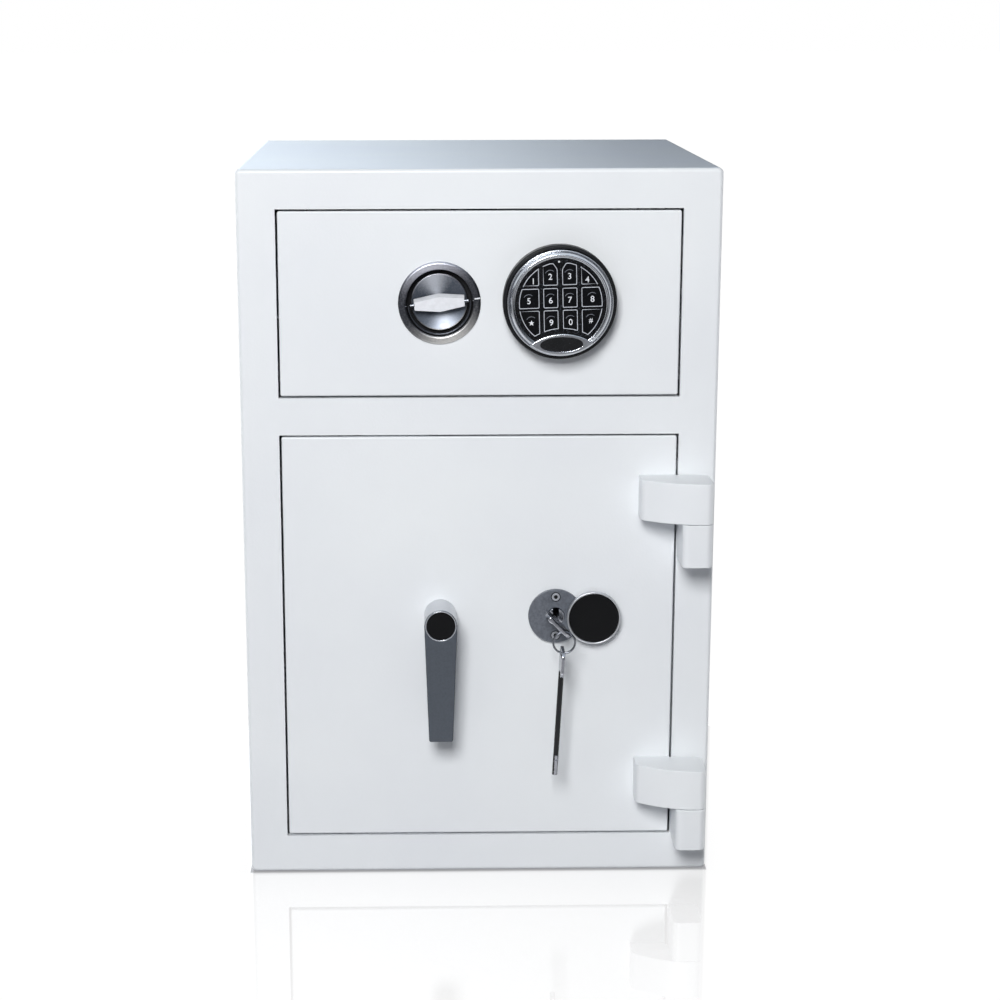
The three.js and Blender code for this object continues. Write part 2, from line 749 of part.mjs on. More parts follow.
function makeKeypad() {
  const keypad = groupAt(drawer, rightColumnX, frontY, keypadZ);
  keypad.rotation.y = -keypadTilt;
  const bezelFront = keypadBaseDepth + keypadBezelDepth;
  const faceFront = bezelFront - keypadFaceSunk;
  const keyFront = faceFront + keyStandProud;
  const keyBack = keyFront - keyThickness;
  const pocketBack = keyBack - keyTravelRoom;

  const rimFront = keypadBaseDepth + keypadRimDepth;
  const rimInner = keypadBezelRadius + runningGap;
  const base = turnedFront([
    [0, -keypadStemLength],
    [keypadStemRadius, -keypadStemLength],
    [keypadStemRadius, 0],
    [keypadBackRadius, 0],
    [keypadBaseRadius, keypadBaseDepth / 2],
    [keypadBaseRadius, rimFront - keypadRimBevel],
    [keypadBaseRadius - keypadRimBevel, rimFront],
    [rimInner, rimFront],
    [rimInner, keypadBaseDepth],
    [0, keypadBaseDepth],
  ], largeRound);
  addPiece(keypad, 'keypad_base', base, blackMatt);

  const seat = keypadFaceRadius + runningGap;
  const bezel = turnedFront([
    [seat, keypadBaseDepth],
    [keypadBezelRadius, keypadBaseDepth],
    [keypadBezelRadius, bezelFront - keypadFaceSunk * 2],
    [keypadBezelFrontRadius, bezelFront - keypadFaceSunk / 2],
    [keypadBezelFrontRadius - keypadFaceSunk, bezelFront],
    [seat + keypadFaceSunk / 2, bezelFront],
    [seat, bezelFront - keypadFaceSunk],
    [seat, keypadBaseDepth],
  ], largeRound);
  addPiece(keypad, 'keypad_bezel', bezel, chrome);

  let face = rodY(keypadFaceRadius, 0, -faceFront, -keypadBaseDepth, 0, largeRound);
  for (const [row, names] of keyNames.entries()) {
    for (const [column, name] of names.entries()) {
      face = face.subtract(keyBlank(column, row, keyGap, pocketBack, faceFront + cutOverrun));
      addPiece(keypad, name, keyBlank(column, row, 0, keyBack, keyFront), blackMatt);
    }
  }
  addPiece(keypad, 'keypad_face', face, blackGloss);
}
makeKeypad();

// The door and the fixed halves of its hinges
const door = new THREE.Group();
safe.add(door);

function makeDoorPlate() {
  const shape = roundedRectangle(
    -panelHalfWidth, panelHalfWidth, doorOpeningBottom + panelGap, doorOpeningTop - panelGap,
    panelCornerRadius);
  let plate = softPlateY(shape, frontY, frameBackY, panelEdgeRadius, 2, 2);
  const holes = [
    [spindleRadius + turningGap, leftColumnX, handleZ],
    [noseBaseRadius + runningGap, rightColumnX, lockZ],
    [screwRadius + runningGap, rightColumnX, lockZ + escutcheonScrewOffset],
    [screwRadius + runningGap, rightColumnX, lockZ - escutcheonScrewOffset],
  ];
  for (const [radius, x, z] of holes) {
    plate = plate.subtract(
      rodY(radius, x, frontY - cutOverrun, frameBackY + cutOverrun, z, mediumRound));
  }
  addPiece(door, 'door_plate', plate, whiteEnamel);
}
makeDoorPlate();

function makeHinges() {
  const backGap = panelGap;
  const swingRadius = hingeAxisOut - backGap;
  const leafBottoms = [
    ['upper', doorOpeningTop - upperHingeDrop],
    ['lower', doorOpeningBottom + lowerHingeRise],
  ];
  // Leaf plan, as (x, y) about the hinge axis with -y towards the front
  const frontReach = hingeFrontOut - hingeAxisOut;
  const leaf = new THREE.Shape();
  leaf.moveTo(-hingeReach, hingeAxisOut);
  leaf.lineTo(-hingeReach, hingeAxisOut - hingeLeftOut + hingeCornerRadius);
  leaf.quadraticCurveTo(
    -hingeReach, hingeAxisOut - hingeLeftOut,
    -hingeReach + hingeCornerRadius, hingeAxisOut - hingeLeftOut - hingeCornerRadius / 2);
  leaf.quadraticCurveTo(
    -hingeReach * hingeCrestShare * 2, -frontReach,
    hingeSideReach - hingeCornerRadius, -frontReach);
  leaf.absarc(
    hingeSideReach - hingeCornerRadius, hingeCornerRadius - frontReach, hingeCornerRadius,
    -Math.PI / 2, 0, false);
  const swingAngle = Math.acos(hingeSideReach / swingRadius);
  leaf.absarc(0, 0, swingRadius, swingAngle, Math.PI / 2, false);
  leaf.lineTo(panelHalfWidth - hingeAxisX, swingRadius);
  leaf.lineTo(panelHalfWidth - hingeAxisX, hingeAxisOut);
  const knuckle = new THREE.Shape();
  const knuckleLeft = openingHalfWidth - hingeAxisX + runningGap;
  knuckle.moveTo(knuckleLeft, hingeAxisOut);
  knuckle.lineTo(knuckleLeft, hingeCornerRadius - frontReach);
  knuckle.absarc(
    knuckleLeft + hingeCornerRadius, hingeCornerRadius - frontReach, hingeCornerRadius,
    Math.PI, Math.PI * 1.5, false);
  knuckle.absarc(
    hingeSideReach - hingeCornerRadius, hingeCornerRadius - frontReach, hingeCornerRadius,
    -Math.PI / 2, 0, false);
  knuckle.lineTo(hingeSideReach, hingeAxisOut);

  for (const [name, leafBottom] of leafBottoms) {
    const onFrame = groupAt(safe, hingeAxisX, hingeAxisY, leafBottom);
    const onDoor = groupAt(door, hingeAxisX, hingeAxisY, leafBottom);
    const boreRadius = hingePinRadius + turningGap;
    const bore = rodZ(
      boreRadius, 0, 0, -hingePinDepth - runningGap * 2, hingePinDepth + runningGap, mediumRound);
    const leafSolid = plateZ(leaf, 0, hingeLeafHeight, 6).subtract(bore);
    addPiece(onDoor, `${name}_hinge_leaf`, leafSolid, whiteEnamel);
    const knuckleSolid = plateZ(knuckle, -hingeKnuckleHeight - runningGap, -runningGap, 4).subtract(bore);
    addPiece(onFrame, `${name}_hinge_knuckle`, knuckleSolid, whiteEnamel);
    const pin = rodZ(hingePinRadius, 0, 0, -hingePinDepth - runningGap, hingePinDepth, mediumRound);
    addPiece(onFrame, `${name}_hinge_pin`, pin, brushedSteel);
  }
}
makeHinges();

// The lever on its spindle, and the crank that the spindle turns behind the door
const crankPinRadiusOfTurn = boltStroke / 2 / Math.sin(Math.PI / 4);
const barFrontY = frameThickness + boltBehind + boltRadius + crankToBar / 2;
function makeHandle() {
  const handle = groupAt(door, leftColumnX, frontY, handleZ);
  const backOut = handleFrontOut - handleThickness;
  const shape = new THREE.Shape();
  shape.moveTo(handleTipRadius - handleTipHalfWidth, -handleReach);
  shape.lineTo(handleTipHalfWidth - handleTipRadius, -handleReach);
  shape.absarc(
    handleTipHalfWidth - handleTipRadius, handleTipRadius - handleReach, handleTipRadius,
    -Math.PI / 2, 0, false);
  shape.absarc(0, 0, handleHeadRadius, 0, Math.PI, false);
  shape.absarc(
    handleTipRadius - handleTipHalfWidth, handleTipRadius - handleReach, handleTipRadius,
    Math.PI, Math.PI * 1.5, false);
  const inlayHole = rodY(
    handleInlayRadius + runningGap, 0, -handleFrontOut - cutOverrun, handleInlayDepth - handleFrontOut,
    0, fineRound);
  const lever = softPlateY(shape, -handleFrontOut, -backOut, handleEdgeRadius, 10, 2);
  addPiece(handle, 'lever_handle', lever.subtract(inlayHole), slateMetal);
  const inlay = rodY(
    handleInlayRadius, 0, -handleFrontOut + runningGap, handleInlayDepth - handleFrontOut, 0, fineRound);
  addPiece(handle, 'handle_inlay', inlay, blackGloss);

  const crankBackY = barFrontY - crankToBar;
  const boss = turnedFront([
    [0, -crankBackY],
    [spindleRadius, -crankBackY],
    [spindleRadius, runningGap],
    [bossRadius, runningGap],
    [bossRadius, backOut],
    [0, backOut],
  ], mediumRound);
  addPiece(handle, 'handle_spindle', boss, paleMetal);

  const pinX = boltStroke / 2;
  const pinZ = -crankPinRadiusOfTurn * Math.cos(Math.PI / 4);
  const pinEndY = barFrontY + boltBarThickness + crankToBar;
  const disc = rodY(crankRadius, 0, crankBackY - crankThickness, crankBackY, 0, mediumRound);
  const bore = rodY(
    spindleRadius + runningGap, 0, crankBackY - crankThickness - cutOverrun, crankBackY + cutOverrun,
    0, mediumRound);
  const pin = rodY(crankPinRadius, pinX, crankBackY - crankThickness, pinEndY, pinZ, coarseRound);
  addPiece(handle, 'drive_crank', disc.subtract(bore).add(pin), zincPlate);
}
makeHandle();

// The sliding bolt bar with its bolts, and the bracket that guides them
function makeBoltwork() {
  const boltwork = groupAt(door, 0, frontY, 0);
  const boltY = frameThickness + boltBehind;
  const webLeft = -panelHalfWidth + boltWebInset;
  const webRight = webLeft + boltWebThickness;
  const boltLeft = -panelHalfWidth + boltInset;
  const spread = (boltCount - 1) * boltSpacing / 2;
  const barBackY = barFrontY + boltBarThickness;
  const bottomZ = doorMiddleZ - spread - boltBarOverhang;
  const topZ = doorMiddleZ + spread + boltBarOverhang;
  const boltNames = ['lower', 'middle', 'upper'];
  const holes = [];
  for (let i = 0; i < boltCount; i += 1) {
    const z = doorMiddleZ - spread + i * boltSpacing;
    const geometry = new THREE.LatheGeometry([
      new THREE.Vector2(0, boltLeft),
      new THREE.Vector2(boltRadius - boltChamfer, boltLeft),
      new THREE.Vector2(boltRadius, boltLeft + boltChamfer),
      new THREE.Vector2(boltRadius, webLeft),
      new THREE.Vector2(0, webLeft),
    ], mediumRound);
    geometry.rotateZ(-Math.PI / 2);
    geometry.translate(0, boltY, z);
    addPiece(boltwork, `locking_bolt_${boltNames[i]}`, solidOf(geometry), brushedSteel);
    holes.push(z);
  }

  const web = block(
    webLeft, webRight, boltY - boltRadius + cutOverrun, barBackY, bottomZ, topZ);
  const strip = block(webLeft, webLeft + boltBarWidth, barFrontY, barBackY, bottomZ, topZ);
  const slotX = leftColumnX + boltStroke / 2;
  const slotHalf = crankPinRadius + crankSlotSlack;
  const tongue = block(
    webLeft, slotX + slotHalf * 2 + boltBarThickness, barFrontY, barBackY,
    handleZ - tongueHalfHeight, handleZ + tongueHalfHeight / 2);
  const lowPin = crankPinRadiusOfTurn;
  const highPin = boltStroke / 2;
  const slot = plateY(roundedRectangle(
    slotX - slotHalf, slotX + slotHalf, handleZ - lowPin - slotHalf, handleZ - highPin + slotHalf,
    crankPinRadius), barFrontY - cutOverrun, barBackY + cutOverrun, 4);
  const armBottomZ = lockZ + lockCaseAbove + lockArmAbove + lockBoltProud;
  const tabLeft = rightColumnX + lockBoltHalfWidth + lockTabSlack;
  const tabRight = tabLeft + lockTabWidth;
  const arm = block(
    webLeft, tabRight, barFrontY, barBackY, armBottomZ, armBottomZ + lockArmHeight);
  const tabBottomZ = lockZ + lockCaseAbove + lockBoltProud + lockTabAbove;
  const tab = block(tabLeft, tabRight, barFrontY, barBackY, tabBottomZ, armBottomZ + lockArmHeight);
  const bar = web.add(strip).add(tongue.subtract(slot)).add(arm).add(tab);
  addPiece(boltwork, 'bolt_bar', bar, zincPlate);

  const onDoor = groupAt(door, 0, frontY, 0);
  const guideLeft = -panelHalfWidth + guideInset;
  const guideRight = guideLeft + guideThickness;
  let guide = block(
    guideLeft, guideRight, frameThickness, frameThickness + guideDepth, bottomZ, topZ);
  for (const z of holes) {
    guide = guide.subtract(rodX(
      boltRadius + turningGap, guideLeft - cutOverrun, guideRight + cutOverrun, boltY, z, mediumRound));
  }
  const foot = block(
    guideLeft, guideRight + guideFootWidth, frameThickness, frameThickness + guideFootThickness,
    bottomZ, topZ);
  addPiece(onDoor, 'bolt_guide', guide.add(foot), zincPlate);

  const panLeft = -panelHalfWidth + coverPanLeftInset;
  const panRight = panelHalfWidth - coverPanRightInset;
  const panBottom = doorOpeningBottom + panelGap + coverPanEndInset;
  const panTop = doorOpeningTop - panelGap - coverPanEndInset;
  const panBackY = frameThickness + coverPanDepth;
  let pan = block(panLeft, panRight, frameThickness, panBackY, panBottom, panTop).subtract(block(
    panLeft + coverPanSheet, panRight - coverPanSheet,
    frameThickness - cutOverrun, panBackY - coverPanSheet,
    panBottom + coverPanSheet, panTop - coverPanSheet));
  for (const z of holes) {
    pan = pan.subtract(rodX(
      boltRadius + turningGap, panLeft - cutOverrun, panLeft + boltWebThickness, boltY, z, mediumRound));
  }
  addPiece(onDoor, 'boltwork_cover', pan, insideEnamel);

  const deadRight = panelHalfWidth + deadBarInset;
  const deadLeft = panRight + coverPanSheet;
  const deadBottom = doorOpeningBottom + panelGap + deadBarEndInset;
  const deadTop = doorOpeningTop - panelGap - deadBarEndInset;
  const deadFrontY = frameThickness + deadBarStandoff;
  const dead = block(
    deadLeft, deadRight, deadFrontY, deadFrontY + deadBarThickness, deadBottom, deadTop,
  ).add(block(
    deadLeft, deadLeft + deadBarFootWidth, frameThickness, deadFrontY + deadBarThickness,
    deadBottom, deadTop));
  addPiece(onDoor, 'dead_bar', dead, zincPlate);
}
makeBoltwork();

// The key lock: case, nose, escutcheon and the bolt that the key lifts into the bolt bar's way
function makeKeyLock() {
  const lock = groupAt(door, rightColumnX, frontY, lockZ);
  const caseFrontY = frameThickness;
  const caseBackY = caseFrontY + lockCaseDepth;
  const boltBackY = barFrontY + boltBarThickness + runningGap;
  const boltFrontY = boltBackY - lockBoltThickness;
  const wall = lockCaseWall;
  const keyWay = rodY(
    noseRadius + runningGap, 0, caseFrontY - cutOverrun, caseFrontY + wall + cutOverrun, 0, mediumRound);
  const boltWay = block(
    -lockBoltHalfWidth - runningGap, lockBoltHalfWidth + runningGap,
    boltFrontY - runningGap, boltBackY + runningGap, lockCaseAbove - wall * 2, lockCaseAbove + cutOverrun);
  const lockCase = block(
    -lockCaseHalfWidth, lockCaseHalfWidth, caseFrontY, caseBackY, -lockCaseBelow, lockCaseAbove,
  ).subtract(block(
    wall - lockCaseHalfWidth, lockCaseHalfWidth - wall, caseFrontY + wall, caseBackY - wall,
    wall - lockCaseBelow, lockCaseAbove - wall,
  )).subtract(keyWay).subtract(boltWay);
  addPiece(lock, 'key_lock_case', lockCase, slateMetal);

  const lockBolt = block(
    -lockBoltHalfWidth, lockBoltHalfWidth, boltFrontY, boltBackY,
    lockBoltTail, lockCaseAbove + lockBoltProud);
  addPiece(lock, 'key_lock_bolt', lockBolt, brushedSteel);

  const noseFront = escutcheonThickness + noseProud;
  const nose = turnedFront([
    [0, runningGap - frameThickness],
    [noseBaseRadius, runningGap - frameThickness],
    [noseBaseRadius, 0],
    [noseRadius, 0],
    [noseRadius, noseFront],
    [0, noseFront],
  ], mediumRound);
  const slotReach = noseRadius + runningGap / 2;
  const slot = block(
    -keySlotWidth / 2, keySlotWidth / 2, -noseFront - cutOverrun, frameThickness,
    -slotReach, slotReach);
  addPiece(lock, 'lock_nose', nose.subtract(slot), chrome);

  let plate = rodY(escutcheonRadius, 0, -escutcheonThickness, 0, 0, fineRound);
  plate = plate.subtract(rodY(
    noseRadius + runningGap, 0, -escutcheonThickness - cutOverrun, cutOverrun, 0, mediumRound));
  plate = plate.subtract(rodY(
    coverPinRadius + turningGap, coverPivotX, -escutcheonThickness - cutOverrun, cutOverrun,
    0, coarseRound));
  const screwNames = [['top', 1], ['bottom', -1]];
  const headBack = escutcheonThickness - screwHeadThickness;
  for (const [name, side] of screwNames) {
    const z = side * escutcheonScrewOffset;
    plate = plate.subtract(rodY(
      screwRadius + runningGap, 0, -escutcheonThickness, cutOverrun, z, mediumRound));
    plate = plate.subtract(rodY(
      screwHeadRadius + runningGap, 0, -escutcheonThickness - cutOverrun, -headBack, z, mediumRound));
    const socket = rodY(
      screwRadius, 0, -escutcheonThickness - cutOverrun, screwHeadThickness / 2 - escutcheonThickness,
      z, hexagonSides);
    const screw = turnedFront([
      [0, escutcheonThickness - screwLength],
      [screwRadius, escutcheonThickness - screwLength],
      [screwRadius, headBack],
      [screwHeadRadius, headBack],
      [screwHeadRadius, escutcheonThickness],
      [0, escutcheonThickness],
    ], mediumRound).translate(0, 0, z).subtract(socket);
    addPiece(lock, `escutcheon_screw_${name}`, screw, chrome);
  }
  addPiece(lock, 'key_escutcheon', plate, slateMetal);

  const cover = groupAt(lock, coverPivotX, 0, 0);
  const coverX = coverCentreX - coverPivotX;
  const coverBack = escutcheonThickness + coverBehind;
  const coverFront = coverBack + coverThickness;
  const inlayBack = coverFront - coverInlayThickness;
  const disc = rodY(coverRadius, coverX, -coverFront, -coverBack, 0, largeRound);
  const seat = rodY(
    coverInlayRadius + runningGap, coverX, -coverFront - cutOverrun, -inlayBack, 0, largeRound);
  const pivot = rodY(coverPinRadius, 0, -coverBack - cutOverrun, -runningGap, 0, coarseRound);
  const washer = rodY(
    coverWasherRadius, 0, -coverBack - cutOverrun, -escutcheonThickness - runningGap, 0, mediumRound);
  addPiece(cover, 'keyhole_cover', disc.subtract(seat).add(pivot).add(washer), paleMetal);
  const inlay = rodY(
    coverInlayRadius, coverX, -coverFront + runningGap, -inlayBack, 0, largeRound);
  addPiece(cover, 'cover_inlay', inlay, blackGloss);
}
makeKeyLock();

// One key, hanging along -Z from the top of its bow, flat across Y
function keySolid() {
  const half = bowWidth / 2;
  const bow = roundedRectangle(-half, half, -bowLength, 0, bowCornerRadius);
  const slotTop = -bowSlotMargin;
  const hole = roundedRectangle(
    -bowSlotHalfLength, bowSlotHalfLength, slotTop - bowSlotWidth, slotTop, bowSlotWidth / 2);
  bow.holes.push(hole);
  const bowSolid = plateX(bow, -bowThickness / 2, bowThickness / 2, 4);
  const shank = rodZ(shankRadius, 0, 0, -keyLength, shankRoot - bowLength, coarseRound);
  const bitTop = -keyLength + bitFromTip + bitLength;
  const bitBottom = -keyLength + bitFromTip;
  const step = bitLength / 4;
  const bitShape = outline([
    [-bitReach, bitBottom],
    [bitReach - bitNotchDepth, bitBottom],
    [bitReach - bitNotchDepth, bitBottom + step],
    [bitReach, bitBottom + step],
    [bitReach, bitTop - step],
    [bitReach - bitNotchDepth, bitTop - step],
    [bitReach - bitNotchDepth, bitTop],
    [bitNotchDepth - bitReach, bitTop],
    [bitNotchDepth - bitReach, bitTop - step],
    [-bitReach, bitTop - step],
  ]);
  const bits = plateX(bitShape, -bitThickness / 2, bitThickness / 2, 1);
  return bowSolid.add(shank).add(bits);
}

// The key in the lock, the ring through its bow, and the spare key that hangs from the ring
function makeKeys() {
  const inLock = groupAt(door, rightColumnX, frontY, lockZ);
  const turned = groupAt(inLock, 0, 0, 0);
  turned.rotation.y = -keyRestAngle;
  const laid = groupAt(turned, 0, -bowOut, 0);
  laid.rotation.x = Math.PI / 2;
  addPiece(laid, 'inserted_key', keySolid(), chrome);

  const ringOut = bowOut - bowSlotMargin - bowSlotWidth / 2;
  const holeX = ringHoleOffset * Math.sin(keyRestAngle);
  const holeZ = -ringHoleOffset * Math.cos(keyRestAngle);
  const ring = groupAt(inLock, holeX, -ringOut, holeZ);
  const ringGeometry = new THREE.TorusGeometry(ringRadius, ringWireRadius, hoopSides, fineRound);
  ringGeometry.rotateX(Math.PI / 2);
  ringGeometry.translate(0, 0, -ringRadius);
  addPiece(ring, 'key_ring', solidOf(ringGeometry), chrome);

  const spareX = -ringRadius * Math.sin(spareRingAngle);
  const spareZ = -ringRadius - ringRadius * Math.cos(spareRingAngle);
  const spare = groupAt(ring, spareX, 0, spareZ);
  spare.rotation.y = spareTilt;
  const wireToTop = bowSlotMargin + turningGap + ringWireRadius;
  const hung = keySolid().translate(0, 0, wireToTop);
  addPiece(spare, 'spare_key', hung, chrome);
}
makeKeys();

export default safe;
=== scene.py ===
import json
from math import acos, atan2, cos, degrees, hypot, pi, radians, sin, sqrt
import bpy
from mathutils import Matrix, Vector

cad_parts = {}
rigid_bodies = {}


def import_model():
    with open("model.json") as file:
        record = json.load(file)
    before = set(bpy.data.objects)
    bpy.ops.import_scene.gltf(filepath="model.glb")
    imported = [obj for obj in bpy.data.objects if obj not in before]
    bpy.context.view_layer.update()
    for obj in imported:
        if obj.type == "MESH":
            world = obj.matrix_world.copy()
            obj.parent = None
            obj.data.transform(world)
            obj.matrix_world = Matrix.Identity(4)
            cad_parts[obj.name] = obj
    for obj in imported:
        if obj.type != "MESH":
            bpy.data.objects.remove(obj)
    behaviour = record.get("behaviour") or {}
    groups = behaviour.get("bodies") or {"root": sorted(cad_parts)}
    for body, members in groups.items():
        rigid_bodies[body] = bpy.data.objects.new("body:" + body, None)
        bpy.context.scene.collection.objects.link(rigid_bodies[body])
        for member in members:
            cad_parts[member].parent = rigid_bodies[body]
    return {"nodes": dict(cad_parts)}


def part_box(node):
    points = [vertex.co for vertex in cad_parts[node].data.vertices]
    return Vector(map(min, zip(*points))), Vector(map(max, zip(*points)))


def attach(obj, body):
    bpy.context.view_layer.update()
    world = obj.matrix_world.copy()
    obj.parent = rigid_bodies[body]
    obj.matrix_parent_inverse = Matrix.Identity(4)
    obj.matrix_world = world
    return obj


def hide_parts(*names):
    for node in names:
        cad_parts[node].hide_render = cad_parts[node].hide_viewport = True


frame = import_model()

from types import SimpleNamespace

import bmesh
import bpy
from mathutils import Matrix, Vector

for startObject in ("Cube", "Light", "Camera"):
    if startObject in bpy.data.objects:
        bpy.data.objects.remove(bpy.data.objects[startObject], do_unlink=True)
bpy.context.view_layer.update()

# Lengths in this file are millimetres, turned to metres when a piece is placed.
# A piece on the front is drawn as (across, -out, up), with out counted from the safe's front face.
millimetre = 0.001
frontY = -175
print("frame loaded")


# Finishes

def operator(operation, swapped=False):
    return lambda value, other: value.maths(operation, other, swapped)


class Value:
    # One output of a node, which can stand in a sum
    def __init__(self, nodes, socket):
        self.nodes = nodes
        self.socket = socket

    def maths(self, operation, other=0, swapped=False):
        first, second = (other, self) if swapped else (self, other)
        return self.nodes.add("ShaderNodeMath", {"operation": operation}, {0: first, 1: second})

    __add__, __radd__ = operator("ADD"), operator("ADD", True)
    __sub__, __rsub__ = operator("SUBTRACT"), operator("SUBTRACT", True)
    __mul__, __rmul__ = operator("MULTIPLY"), operator("MULTIPLY", True)
    __truediv__, __rtruediv__ = operator("DIVIDE"), operator("DIVIDE", True)
    __pow__, __rpow__ = operator("POWER"), operator("POWER", True)

    def __abs__(self):
        return self.maths("ABSOLUTE")


class Nodes:
    # Adds nodes to one tree, for a finish or for geometry
    def __init__(self, tree):
        self.tree = tree

    def add(self, kind, settings=None, sockets=None, output=0):
        node = self.tree.nodes.new(kind)
        for key, value in (settings or {}).items():
            setattr(node, key, value)
        for key, value in (sockets or {}).items():
            if isinstance(value, Value):
                self.tree.links.new(value.socket, node.inputs[key])
            else:
                node.inputs[key].default_value = value
        return Value(self, node.outputs[output]) if node.outputs else node

    def remap(self, value, low, high, outLow=0, outHigh=1):
        return self.add("ShaderNodeMapRange", None, {
            "Value": value, "From Min": low, "From Max": high, "To Min": outLow, "To Max": outHigh})

    def vectorMaths(self, operation, first, second=(0, 0, 0), output=0):
        return self.add("ShaderNodeVectorMath", {"operation": operation}, {0: first, 1: second}, output)

    def blend(self, share, first, second):
        return self.add("ShaderNodeMixShader", None, {0: share, 1: first, 2: second})

    def split(self, vector):
        # The three parts of a vector
        parts = self.add("ShaderNodeSeparateXYZ", None, {"Vector": vector}).socket.node.outputs
        return [Value(self, part) for part in parts]

    def rays(self):
        # Camera, glossy and transmission rays, as shares of one
        path = self.add("ShaderNodeLightPath").socket.node
        return [Value(self, path.outputs[f"Is {kind} Ray"])
                for kind in ("Camera", "Glossy", "Transmission")]


def paint(red, green, blue):
    # A colour as it is seen on a screen, 0 to 255, as Blender's linear colour
    def linear(value):
        share = value / 255
        return share / 12.92 if share <= 0.04045 else ((share + 0.055) / 1.055) ** 2.4
    return (linear(red), linear(green), linear(blue))


# Where most of a noise texture's values lie
noiseSpan = (0.3, 0.7)


class Finish(Nodes):
    def __init__(self, name, colour, roughness, metallic=0, specular=0.5):
        self.material = bpy.data.materials.new(name)
        self.material.use_nodes = True
        super().__init__(self.material.node_tree)
        self.tree.nodes.clear()
        self.material.diffuse_color = (*colour, 1)
        shader = self.add("ShaderNodeBsdfPrincipled", None, {
            "Base Color": (*colour, 1), "Roughness": roughness, "Metallic": metallic,
            "Specular IOR Level": specular})
        self.shader = shader.socket.node
        self.add("ShaderNodeOutputMaterial", None, {"Surface": shader})
        self.spot = self.add("ShaderNodeTexCoord", None, None, 3)

    def feed(self, socketName, value):
        self.tree.links.new(value.socket, self.shader.inputs[socketName])

    def noise(self, scale, detail):
        return self.add("ShaderNodeTexNoise", None, {"Vector": self.spot, "Scale": scale, "Detail": detail})

    def mixed(self, share, first, second):
        first, second = (value if isinstance(value, Value) else (*value, 1) for value in (first, second))
        return self.add("ShaderNodeMix", {"data_type": "RGBA"}, {0: share, 6: first, 7: second}, 2)

    def colours(self, share, first, second):
        self.feed("Base Color", self.mixed(share, first, second))

    def wear(self, pattern, low, high):
        self.feed("Roughness", self.remap(pattern, *noiseSpan, low, high))

    def bump(self, height, distance, strength):
        self.feed("Normal", self.add("ShaderNodeBump", None, {
            "Strength": strength, "Distance": distance, "Height": height}))


def enamel(name, colour, roughness, peelDepth, peelScale=620):
    # Powder coat: a fine orange peel, and a faint drift of tone
    finish = Finish(name, colour, roughness)
    darker = [0.965 * part for part in colour]
    paler = [min(1.02 * part, 0.9) for part in colour]
    finish.colours(finish.remap(finish.noise(7, 3), *noiseSpan), darker, paler)
    peel = finish.noise(peelScale, 2)
    grain = finish.noise(2300, 1)
    finish.wear(grain, roughness - 0.04, roughness + 0.05)
    finish.bump(peel * 0.8 + grain * 0.2, peelDepth, 0.6)
    return finish.material


def spunMetalPaintedWedges(name, dark, above, below, narrow, roughness):
    # Spun steel about the pull's axis, with painted reflection: a light wedge painted above and below it
    # and dark sides, for the highlight turned metal shows; the ring grain and bump are the metal's own
    finish = Finish(name, below, roughness, 0.85)
    centre = (pullPlace["across"] * millimetre, 0, pullPlace["up"] * millimetre)
    flat = finish.vectorMaths("SUBTRACT", finish.spot, centre)
    flat = finish.vectorMaths("MULTIPLY", flat, (1, 0, 1))
    way = finish.vectorMaths("NORMALIZE", flat)
    paintedWedgeRise = finish.vectorMaths("DOT_PRODUCT", way, (-sin(paintedWedgeLean), 0, cos(paintedWedgeLean)), 1)
    light = finish.mixed(finish.remap(paintedWedgeRise, -0.2, 0.2), below, above)
    rings = finish.add("ShaderNodeTexNoise", {"noise_dimensions": "1D"}, {
        "W": finish.vectorMaths("LENGTH", flat, output=1) * 9000, "Scale": 1, "Detail": 3})
    smear = finish.noise(700, 3)
    grain = finish.remap(rings * 0.5 + smear * 0.5, *noiseSpan, -0.16, 0.16)
    # Painted reflection: light wedges above and below the axis, dark at the sides
    finish.colours(abs(paintedWedgeRise) ** narrow + grain, dark, light)
    finish.wear(smear, roughness - 0.05, roughness + 0.08)
    finish.bump(rings, 0.00002, 0.4)
    return finish.material


def plainMetal(name, colour, roughness, spread, scale, metallic=1, grainDepth=0.00001):
    finish = Finish(name, colour, roughness, metallic)
    cloud = finish.noise(scale, 3)
    finish.colours(finish.remap(cloud, *noiseSpan), [(1 - spread) * part for part in colour], colour)
    finish.wear(cloud, roughness * 0.85, roughness * 1.2)
    finish.bump(finish.noise(scale * 30, 2), grainDepth, 0.3)
    return finish.material


def zinc(name, colour):
    # Zinc-plated sheet with a soft spangle
    finish = Finish(name, colour, 0.4, 0.85)
    cells = finish.add("ShaderNodeTexVoronoi", None, {"Vector": finish.spot, "Scale": 160}, 1)
    tone = finish.add("ShaderNodeRGBToBW", None, {"Color": cells})
    smear = finish.noise(25, 4)
    blend = tone * 0.35 + smear * 0.65
    finish.colours(finish.remap(blend, 0.25, 0.75), [0.78 * part for part in colour], colour)
    finish.feed("Roughness", finish.remap(blend, 0.25, 0.75, 0.5, 0.32))
    finish.bump(smear, 0.00003, 0.4)
    return finish.material


def speckled(name, colour, fleck, roughness):
    # Black plastic with a fine paler fleck
    finish = Finish(name, colour, roughness, 0, 0.2)
    grain = finish.noise(900, 1)
    finish.colours(finish.remap(grain, 0.56, 0.8), colour, fleck)
    finish.wear(finish.noise(60, 3), roughness * 0.85, roughness * 1.2)
    finish.bump(grain, 0.00002, 0.25)
    return finish.material


# Where the four fittings stand on the front, in millimetres, and how far each is turned
pullPlace = {"across": -29.1, "up": 439, "turn": radians(4.9)}
keypadPlace = {"across": 57.327, "up": 441.1, "turn": radians(1.7)}
leverPlace = {"across": -29.1, "up": 205.05, "turn": 0}
lockPlace = {"across": 57.327, "up": 204.05, "turn": 0}

